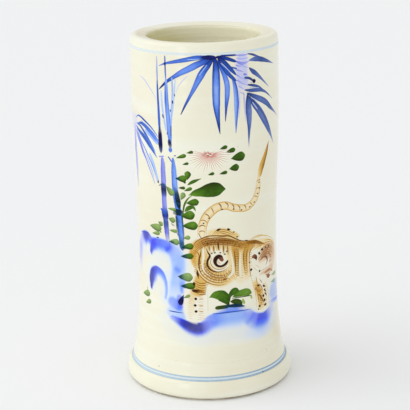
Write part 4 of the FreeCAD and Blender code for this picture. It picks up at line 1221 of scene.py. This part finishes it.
def group_of(name, inputs, outputs):
    """A new node group with its sockets, its input node and its output node."""
    group = bpy.data.node_groups.new(name, "ShaderNodeTree")
    for socket, kind, default in inputs:
        made = group.interface.new_socket(name=socket, in_out="INPUT", socket_type=kind)
        made.default_value = default
    for socket, kind in outputs:
        group.interface.new_socket(name=socket, in_out="OUTPUT", socket_type=kind)
    return group, group.nodes.new("NodeGroupInput"), group.nodes.new("NodeGroupOutput")


class Wiring:
    """Adds nodes to a tree and links them, one short line for each."""

    def __init__(self, tree):
        self.tree = tree

    def node(self, kind, sockets=(), **settings_):
        """A new node. Sockets are (name or number, value or output socket)."""
        made = self.tree.nodes.new("ShaderNode" + kind)
        for key, value in settings_.items():
            setattr(made, key, value)
        self.feed(made, sockets)
        return made

    def feed(self, node, sockets):
        """Links or sets the inputs of a node."""
        for socket, value in sockets:
            if isinstance(value, bpy.types.NodeSocket):
                self.tree.links.new(value, node.inputs[socket])
            else:
                node.inputs[socket].default_value = value

    def math(self, operation, first, second=0.0, clamp=False):
        """The result of a sum of two values."""
        return self.node("Math", ((0, first), (1, second)), operation=operation, use_clamp=clamp).outputs[0]

    def mix(self, factor, first, second, blend="MIX"):
        """A mixed colour."""
        sockets = ((0, factor), (6, first), (7, second))
        return self.node("Mix", sockets, data_type="RGBA", blend_type=blend).outputs[2]

    def span(self, value, low, high, to_low=0.0, to_high=1.0):
        """A value carried smoothly from one span to another."""
        sockets = ((0, value), (1, low), (2, high), (3, to_low), (4, to_high))
        return self.node("MapRange", sockets, interpolation_type="SMOOTHSTEP").outputs[0]

    def noise(self, place, scale, detail=3.0, roughness=0.5, stretch=None):
        """Noise at a place, stretched along an axis if asked."""
        if stretch:
            place = self.node("Mapping", (("Vector", place), ("Scale", stretch))).outputs[0]
        sockets = (("Vector", place), ("Scale", scale), ("Detail", detail), ("Roughness", roughness))
        return self.node("TexNoise", sockets).outputs[0]

    def bump(self, strength, distance, height):
        """A normal with a fine relief, of a depth in metres."""
        sockets = (("Strength", strength), ("Distance", distance), ("Height", height))
        return self.node("Bump", sockets).outputs[0]


def porcelain_group():
    """Colour, unevenness and specks of a fired cream glaze, shared by the two glazes."""
    name = "porcelain_glaze"
    if name in bpy.data.node_groups:
        return bpy.data.node_groups[name]
    tones = [(tone, COLOUR, WHITE) for tone in ("Glaze", "Warm", "Pale", "Speck")]
    group, given, result = group_of(
        name,
        (("Place", VECTOR, ORIGIN), *tones, ("Specks", VALUE, 0.3), ("Rings", VALUE, 0.1)),
        (("Colour", COLOUR), ("Gloss", VALUE), ("Height", VALUE)),
    )
    wire = Wiring(group)
    place = given.outputs["Place"]
    cloud = wire.span(wire.noise(place, 16, 4), 0.42, 0.72)
    bands = wire.span(wire.noise(place, 10, 3, 0.5, (1, 1, 9)), 0.46, 0.70)
    tone = wire.mix(wire.math("MULTIPLY", cloud, 0.45), given.outputs["Glaze"], given.outputs["Warm"])
    tone = wire.mix(wire.math("MULTIPLY", bands, 0.5), tone, given.outputs["Pale"])
    cells = wire.node("TexVoronoi", (("Vector", place), ("Scale", 190.0)))
    small = wire.span(cells.outputs["Distance"], 0.05, 0.10, 1.0, 0.0)
    chosen = wire.node("SeparateColor", ((0, cells.outputs["Color"]),)).outputs[0]
    few = wire.math("GREATER_THAN", chosen, 0.985)
    speck = wire.math("MULTIPLY", wire.math("MULTIPLY", small, few), given.outputs["Specks"])
    wire.feed(result, (("Colour", wire.mix(speck, tone, given.outputs["Speck"])),))
    height = wire.node("SeparateXYZ", ((0, place),)).outputs[2]
    wander = wire.math("MULTIPLY", wire.noise(place, 14, 2), 10)
    turned = wire.math("SINE", wire.math("ADD", wire.math("MULTIPLY", height, 1500), wander))
    rings = wire.math("MULTIPLY", turned, given.outputs["Rings"])
    ripple = wire.math("ADD", wire.noise(place, 120, 2), rings)
    gloss = wire.span(wire.noise(place, 60, 2), 0.3, 0.7, 0.10, 0.20)
    wire.feed(result, (("Gloss", gloss), ("Height", ripple)))
    return group


def brushed_group():
    """Streaks that the hairs of a brush leave in a pigment, along each stroke."""
    name = "brush_streaks"
    if name in bpy.data.node_groups:
        return bpy.data.node_groups[name]
    group, given, result = group_of(
        name,
        (("Brushed", VECTOR, ORIGIN), ("Pigment", COLOUR, WHITE), ("Streaks", VALUE, 0.3)),
        (("Colour", COLOUR), ("Height", VALUE)),
    )
    wire = Wiring(group)
    place = given.outputs["Brushed"]
    bristles = wire.noise(place, 2.2, 2, 0.6, (1.0, 0.09, 1.0))
    pools = wire.noise(place, 0.35, 3, 0.6)
    streak = wire.math("MULTIPLY", wire.span(bristles, 0.38, 0.66), given.outputs["Streaks"])
    pool = wire.math("MULTIPLY", wire.span(pools, 0.40, 0.70), given.outputs["Streaks"])
    lighter = wire.node("Gamma", (("Color", given.outputs["Pigment"]), ("Gamma", 0.72))).outputs[0]
    darker = wire.node("Gamma", (("Color", given.outputs["Pigment"]), ("Gamma", 1.3))).outputs[0]
    streaked = wire.mix(streak, given.outputs["Pigment"], lighter)
    wire.feed(result, (("Colour", wire.mix(pool, streaked, darker)), ("Height", bristles)))
    return group


def new_material(name):
    """An empty material with a Principled shader: (material, wiring, shader)."""
    material = bpy.data.materials.new(name)
    material.use_nodes = True
    shader = material.node_tree.nodes["Principled BSDF"]
    return material, Wiring(material.node_tree), shader


def glaze_material(name, glaze, warm, pale, painted):
    """Glossy cream glaze. Where it is painted, the washes stained into it show through. In the well, painted
    shade darkens its left side.
    """
    colours = settings("pot_colours")
    material, wire, shader = new_material(name)
    place = wire.node("TexCoord").outputs["Object"]
    sockets = (("Place", place), ("Glaze", (*glaze, 1)), ("Warm", (*warm, 1)), ("Pale", (*pale, 1)),
               ("Speck", (*colours.speck, 1)), ("Specks", 0.5), ("Rings", 0.08 if painted else 1.2))
    body = wire.node("Group", sockets, node_tree=porcelain_group())
    colour = body.outputs["Colour"]
    if painted:
        wash = wire.node("Attribute", attribute_name="wash", attribute_type="GEOMETRY")
        water = wire.noise(place, 75, 4, 0.55)
        thin = wire.math("MULTIPLY", wash.outputs["Alpha"], wire.span(water, 0.32, 0.66, 1.0, 0.93))
        colour = wire.mix(thin, colour, wash.outputs["Color"])
    else:
        # Painted shade: the left side of the well darkens towards the shaded colour
        side = wire.node("SeparateXYZ", ((0, place),)).outputs[0]
        left_shade = wire.span(side, PAINTED_SHADE_FULL, PAINTED_SHADE_STARTS, 1, 0)
        colour = wire.mix(left_shade, colour, (*colours.glaze_painted_shade, 1))
    relief = wire.bump(0.12, 0.4 * MM, body.outputs["Height"])
    wire.feed(shader, (("Base Color", colour), ("Roughness", body.outputs["Gloss"]), ("Normal", relief)))
    shader.inputs["IOR"].default_value = GLAZE_IOR
    return material


def paint_material(name, streaks, relief):
    """Pigment laid by brush: its colour and cover come with each stroke, and streaks run along it.

    Its surface shines less than the bare glaze does.
    """
    if name in bpy.data.materials:
        return bpy.data.materials[name]
    material, wire, shader = new_material(name)
    tint = wire.node("Attribute", attribute_name="pigment", attribute_type="GEOMETRY")
    brushed = wire.node("UVMap", uv_map="brushed").outputs[0]
    sockets = (("Brushed", brushed), ("Pigment", tint.outputs["Color"]), ("Streaks", streaks))
    marks = wire.node("Group", sockets, node_tree=brushed_group())
    normal = wire.bump(relief, 0.2 * MM, marks.outputs["Height"])
    cover = tint.outputs["Alpha"]
    wire.feed(shader, (("Base Color", marks.outputs["Colour"]), ("Alpha", cover), ("Normal", normal)))
    shader.inputs["Roughness"].default_value = PAINT_ROUGHNESS
    shader.inputs["IOR"].default_value = PAINT_IOR
    return material


def paint_in_cobalt(name):
    """One group of strokes in blue, which lies thin and half sunk in the glaze."""
    material = paint_material("cobalt_strokes", 0.35, 0.1)
    painted_piece(name, LAYERS[name], settings("pot_sizes").cobalt_lift, material)


def paint_in_enamel(name):
    """One group of strokes in enamel, which stands on the glaze."""
    material = paint_material("enamel_strokes", 0.40, 0.3)
    painted_piece(name, LAYERS[name], settings("pot_sizes").enamel_lift, material)


def clay_material():
    """Bare fired clay: matt, gritty and a little scorched."""
    colours = settings("pot_colours")
    material, wire, shader = new_material("bare_clay")
    place = wire.node("TexCoord").outputs["Object"]
    scorch = wire.span(wire.noise(place, 45, 4, 0.6), 0.35, 0.70)
    grit = wire.noise(place, 1400, 2, 0.7)
    colour = wire.mix(scorch, (*colours.clay, 1), (*colours.clay_grit, 1))
    colour = wire.mix(wire.span(grit, 0.56, 0.70, 0.0, 0.6), colour, (*colours.clay_grit, 1))
    rough = wire.span(grit, 0.3, 0.7, 0.75, 0.92)
    normal = wire.bump(0.5, 0.3 * MM, grit)
    wire.feed(shader, (("Base Color", colour), ("Roughness", rough), ("Normal", normal)))
    return material


# Operators
CLAY_NODES = ("thrown_wall", "foot_ring", "floor_slab")
# How finely the hidden side of the outer coat is divided, with finer steps round the corner over the foot
CORNER_HEIGHT, CORNER_REACH = 14 * MM, 4 * MM
CORNER_STEP, HIDDEN_STEP = 1.2 * MM, 8 * MM
# How near to the wall's outline a vertex is on it, and how far the inner glaze's colour runs into the outer
ON_WALL = 0.2 * MM
MOUTH_REACH, MOUTH_COVER = 0.5 * MM, 0.9
# The inner coat: gaps and steps of its skin, how near its wall a vertex is on it, and its throwing rings,
# which are a little deeper than those outside
WELL_GAP, WELL_STEP = 0.3 * MM, 2.5 * MM
ON_WELL = 0.1 * MM
WELL_RINGS = 1.2
FLOOR_SIZE = 30.0
SENSOR_WIDTH = 36.0
KEY_TURN, KEY_SPREAD = (math.radians(50), 0, math.radians(-84)), math.radians(60)
WINDOW_PLACE, WINDOW_TURN = (-0.84, -1.24, 0.16), (math.radians(90), 0, math.radians(-34))
WINDOW_SIZE = (0.36, 0.9)


class BRUSHPOT_OT_clay(bpy.types.Operator):
    """Finish the bare clay of the thrown wall, the foot ring and the floor slab"""

    bl_idname = "brushpot.clay"
    bl_label = "Bare clay"

    def execute(self, context):
        material = clay_material()
        for node in CLAY_NODES:
            data = frame["nodes"][node].data
            data.materials.clear()
            data.materials.append(material)
        return {"FINISHED"}


class BRUSHPOT_OT_outer_glaze(bpy.types.Operator):
    """Turn the outer glaze, from the foot edge over the lip into the mouth, and stain its washes into it,
    with painted shade low on its right and on the left of the mouth
    """

    bl_idname = "brushpot.outer_glaze"
    bl_label = "Outer glaze"

    def execute(self, context):
        sizes, colours = settings("pot_sizes"), settings("pot_colours")
        in_corner = abs(OUTER_HIDDEN[:, 1] - CORNER_HEIGHT) < CORNER_REACH
        hidden = thinned(OUTER_HIDDEN, np.where(in_corner, CORNER_STEP, HIDDEN_STEP))[::-1]
        loop = np.vstack([OUTER_SKIN, hidden[1:-1]])
        left, right = PAINTED_FROM / SHEET_TURN, PAINTED_TO / SHEET_TURN
        columns = round((right - left) * SHEET_TURN * UNIT / sizes.column_step)
        around = left + math.tau
        piece = spun(loop, True, ((left, right, columns), (right, around, sizes.back_columns)))
        places, radius, turn = places_of(piece)
        wall_radius = np.interp(places[:, 2], WALL[:, 1], WALL[:, 0])
        on_wall = (np.abs(radius - wall_radius) < ON_WALL) & (places[:, 2] < WALL[-1, 1])
        push_out(piece, places, radius, np.where(on_wall, thrown_off(turn, places[:, 2]), 0))
        over_lip = (radius < WALL[-1, 0]) & (places[:, 2] > COATS_MEET[1])
        up = places[:, 2] + np.where(over_lip, WALL[-1, 0] - radius + 2 * (LIP_TOP - places[:, 2]), 0)
        colour, cover = lay_washes(turn * SHEET_TURN, up / UNIT, ALL_WASHES)
        wash = np.column_stack([colour, cover * (on_wall | over_lip)])
        in_mouth = (radius < COATS_MEET[0] + MOUTH_REACH) & (places[:, 2] > COATS_MEET[1] - WELD)
        # Over the mouth the outer glaze takes the well's colour, with the same painted shade on its left side
        mouth_shade = np.clip((PAINTED_SHADE_STARTS - places[:, 0]) / (PAINTED_SHADE_STARTS - PAINTED_SHADE_FULL), 0, 1)[:, None] ** 2
        well = np.array(colours.glaze_inside) * (1 - mouth_shade) + np.array(colours.glaze_painted_shade) * mouth_shade
        wash[in_mouth] = np.column_stack([well, np.full(len(well), MOUTH_COVER)])[in_mouth]
        stain = piece.data.attributes.new("wash", "FLOAT_COLOR", "POINT")
        stain.data.foreach_set("color", wash.astype(np.float32).ravel())
        material = glaze_material("outer_glaze", colours.glaze, colours.glaze_warm, colours.glaze_pale, True)
        finish_piece(piece, "glaze_outside", material, ("outer_glaze",))
        shade_softly(piece)
        return {"FINISHED"}


class BRUSHPOT_OT_inner_glaze(bpy.types.Operator):
    """Turn the glaze that lines the brush well, with painted shade on its left side and a colour paler than
    the outer glaze as painted light
    """

    bl_idname = "brushpot.inner_glaze"
    bl_label = "Inner glaze"

    def execute(self, context):
        sizes, colours = settings("pot_sizes"), settings("pot_colours")
        skin = divided(thinned(INNER_SKIN, WELL_GAP), WELL_STEP)
        loop = np.vstack([skin, INNER_HIDDEN[::-1][:-1]])
        piece = spun(loop, False, ((0, math.tau, sizes.inner_columns),))
        places, radius, turn = places_of(piece)
        up = places[:, 2] / MM
        on_wall = (np.abs(radius - COATS_MEET[0]) < ON_WELL) & (places[:, 2] < COATS_MEET[1] - MM)
        spiral = np.sin(up / 1.9 + turn) * np.clip((COATS_MEET[1] / MM - up) / 12, 0, 1)
        push_out(piece, places, radius, np.where(on_wall, WELL_RINGS * sizes.ring_depth * spiral, 0))
        glazes = (colours.glaze_inside, colours.glaze_warm, colours.glaze)
        material = glaze_material("inner_glaze", *glazes, False)
        finish_piece(piece, "glaze_inside", material, ("inner_glaze",))
        shade_softly(piece)
        return {"FINISHED"}


class BRUSHPOT_OT_ring_lines(bpy.types.Operator):
    """Paint the blue lines that run round under the lip and above the foot, a painted shade line along a fine
    groove, and iron specks
    """

    bl_idname = "brushpot.ring_lines"
    bl_label = "Ring lines"

    def execute(self, context):
        paint_in_cobalt("painted_ring_lines")
        return {"FINISHED"}


class BRUSHPOT_OT_bamboo_stems(bpy.types.Operator):
    """Paint the bamboo stems and the twigs beside them"""

    bl_idname = "brushpot.bamboo_stems"
    bl_label = "Bamboo stems"

    def execute(self, context):
        paint_in_cobalt("painted_bamboo_stems")
        paint_in_cobalt("painted_twigs")
        return {"FINISHED"}


class BRUSHPOT_OT_bamboo_leaves(bpy.types.Operator):
    """Paint the three fans of bamboo leaves"""

    bl_idname = "brushpot.bamboo_leaves"
    bl_label = "Bamboo leaves"

    def execute(self, context):
        paint_in_cobalt("painted_bamboo_leaves")
        return {"FINISHED"}


class BRUSHPOT_OT_ground_lines(bpy.types.Operator):
    """Paint the dark lines on the ground and the rocks"""

    bl_idname = "brushpot.ground_lines"
    bl_label = "Ground lines"

    def execute(self, context):
        paint_in_cobalt("painted_ground_lines")
        return {"FINISHED"}


class BRUSHPOT_OT_green_leaves(bpy.types.Operator):
    """Paint the green leaves of the plant and the tuft of grass"""

    bl_idname = "brushpot.green_leaves"
    bl_label = "Green leaves"

    def execute(self, context):
        paint_in_enamel("painted_green_leaves")
        return {"FINISHED"}


class BRUSHPOT_OT_chrysanthemum(bpy.types.Operator):
    """Paint the petals of the flower"""

    bl_idname = "brushpot.chrysanthemum"
    bl_label = "Chrysanthemum"

    def execute(self, context):
        paint_in_enamel("painted_chrysanthemum")
        return {"FINISHED"}


class BRUSHPOT_OT_tiger(bpy.types.Operator):
    """Paint the coat, the head and the tail of the tiger"""

    bl_idname = "brushpot.tiger"
    bl_label = "Tiger"

    def execute(self, context):
        paint_in_enamel("painted_tiger")
        return {"FINISHED"}


class BRUSHPOT_OT_stage(bpy.types.Operator):
    """Set the pot on a pale table, with soft light and the camera"""

    bl_idname = "brushpot.stage"
    bl_label = "Stage"

    def execute(self, context):
        stage = settings("pot_stage")
        deselect_all()
        bpy.ops.mesh.primitive_plane_add(size=FLOOR_SIZE, location=(0, 0, CAD_BOX[0].z))
        floor = context.object
        floor.name = "table"
        material, wire, shader = new_material("table")
        shader.inputs["Base Color"].default_value = (*stage.floor, 1)
        shader.inputs["Roughness"].default_value = 0.9
        shader.inputs["Specular IOR Level"].default_value = 0.1
        floor.data.materials.append(material)
        self.add_camera(context, stage)
        self.add_lights(context, stage)
        return {"FINISHED"}

    def add_camera(self, context, stage):
        """The camera, looking down at the pot from the front."""
        lens = bpy.data.cameras.new("camera")
        lens.lens, lens.sensor_width = stage.lens, SENSOR_WIDTH
        lens.clip_start, lens.clip_end = 0.05, 50.0
        camera = bpy.data.objects.new("camera", lens)
        context.scene.collection.objects.link(camera)
        pitch = stage.camera_pitch
        aim = Vector((stage.aim_side, 0, stage.aim_up))
        camera.location = aim + stage.camera_far * Vector((0, -math.cos(pitch), math.sin(pitch)))
        camera.rotation_mode = "QUATERNION"
        look = Quaternion((1, 0, 0), math.pi / 2 - pitch)
        camera.rotation_quaternion = look @ Quaternion((0, 0, 1), stage.camera_roll)
        context.scene.camera = camera

    def add_lights(self, context, stage):
        """A bright even surround, a soft sun from the left and a tall window light near the camera."""
        world = bpy.data.worlds.new("surround")
        context.scene.world = world
        world.use_nodes = True
        surround = world.node_tree.nodes["Background"]
        surround.inputs["Color"].default_value = WHITE
        surround.inputs["Strength"].default_value = stage.sky
        bpy.ops.object.light_add(type="SUN", location=(-1, -1, 2))
        key = context.object
        key.name = "key_light"
        key.data.energy = stage.key
        key.data.angle = KEY_SPREAD
        key.rotation_euler = KEY_TURN
        bpy.ops.object.light_add(type="AREA", location=WINDOW_PLACE)
        window = context.object
        window.name = "window_light"
        window.data.shape = "RECTANGLE"
        window.data.size, window.data.size_y = WINDOW_SIZE
        window.data.energy = stage.window
        window.rotation_euler = WINDOW_TURN
        context.scene.view_settings.view_transform = "Standard"


class BRUSHPOT_PT_panel(bpy.types.Panel):
    """The steps of dressing the pot, in order"""

    bl_label = "Brush pot"
    bl_idname = "BRUSHPOT_PT_panel"
    bl_space_type = "VIEW_3D"
    bl_region_type = "UI"
    bl_category = "Brush Pot"

    def draw(self, context):
        for step in STEPS:
            self.layout.operator(step)
        for name in GROUPS:
            group = settings(name)
            box = self.layout.box()
            for key in group.bl_rna.properties.keys():
                if key not in ("name", "rna_type"):
                    box.prop(group, key)


# The operators, in the order in which the pot is dressed
STEPS = (
    "brushpot.clay", "brushpot.outer_glaze", "brushpot.inner_glaze", "brushpot.ring_lines",
    "brushpot.bamboo_stems", "brushpot.bamboo_leaves", "brushpot.ground_lines", "brushpot.green_leaves",
    "brushpot.chrysanthemum", "brushpot.tiger", "brushpot.stage",
)
GROUPS = {"pot_sizes": PotSizes, "pot_colours": PotColours, "pot_stage": PotStage}
CLASSES = (
    *GROUPS.values(), BRUSHPOT_OT_clay, BRUSHPOT_OT_outer_glaze, BRUSHPOT_OT_inner_glaze,
    BRUSHPOT_OT_ring_lines, BRUSHPOT_OT_bamboo_stems, BRUSHPOT_OT_bamboo_leaves, BRUSHPOT_OT_ground_lines,
    BRUSHPOT_OT_green_leaves, BRUSHPOT_OT_chrysanthemum, BRUSHPOT_OT_tiger, BRUSHPOT_OT_stage,
    BRUSHPOT_PT_panel,
)


def register():
    """Makes the settings, the operators and the panel known to Blender."""
    for part in CLASSES:
        bpy.utils.register_class(part)
    for name, group in GROUPS.items():
        setattr(bpy.types.Scene, name, PointerProperty(type=group))


def unregister():
    """Takes them away again."""
    for name in GROUPS:
        delattr(bpy.types.Scene, name)
    for part in reversed(CLASSES):
        bpy.utils.unregister_class(part)


def main():
    """Dresses the pot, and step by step."""
    register()
    for step in STEPS:
        group, action = step.split(".")
        getattr(getattr(bpy.ops, group), action)()


if __name__ == "__main__":
    main()
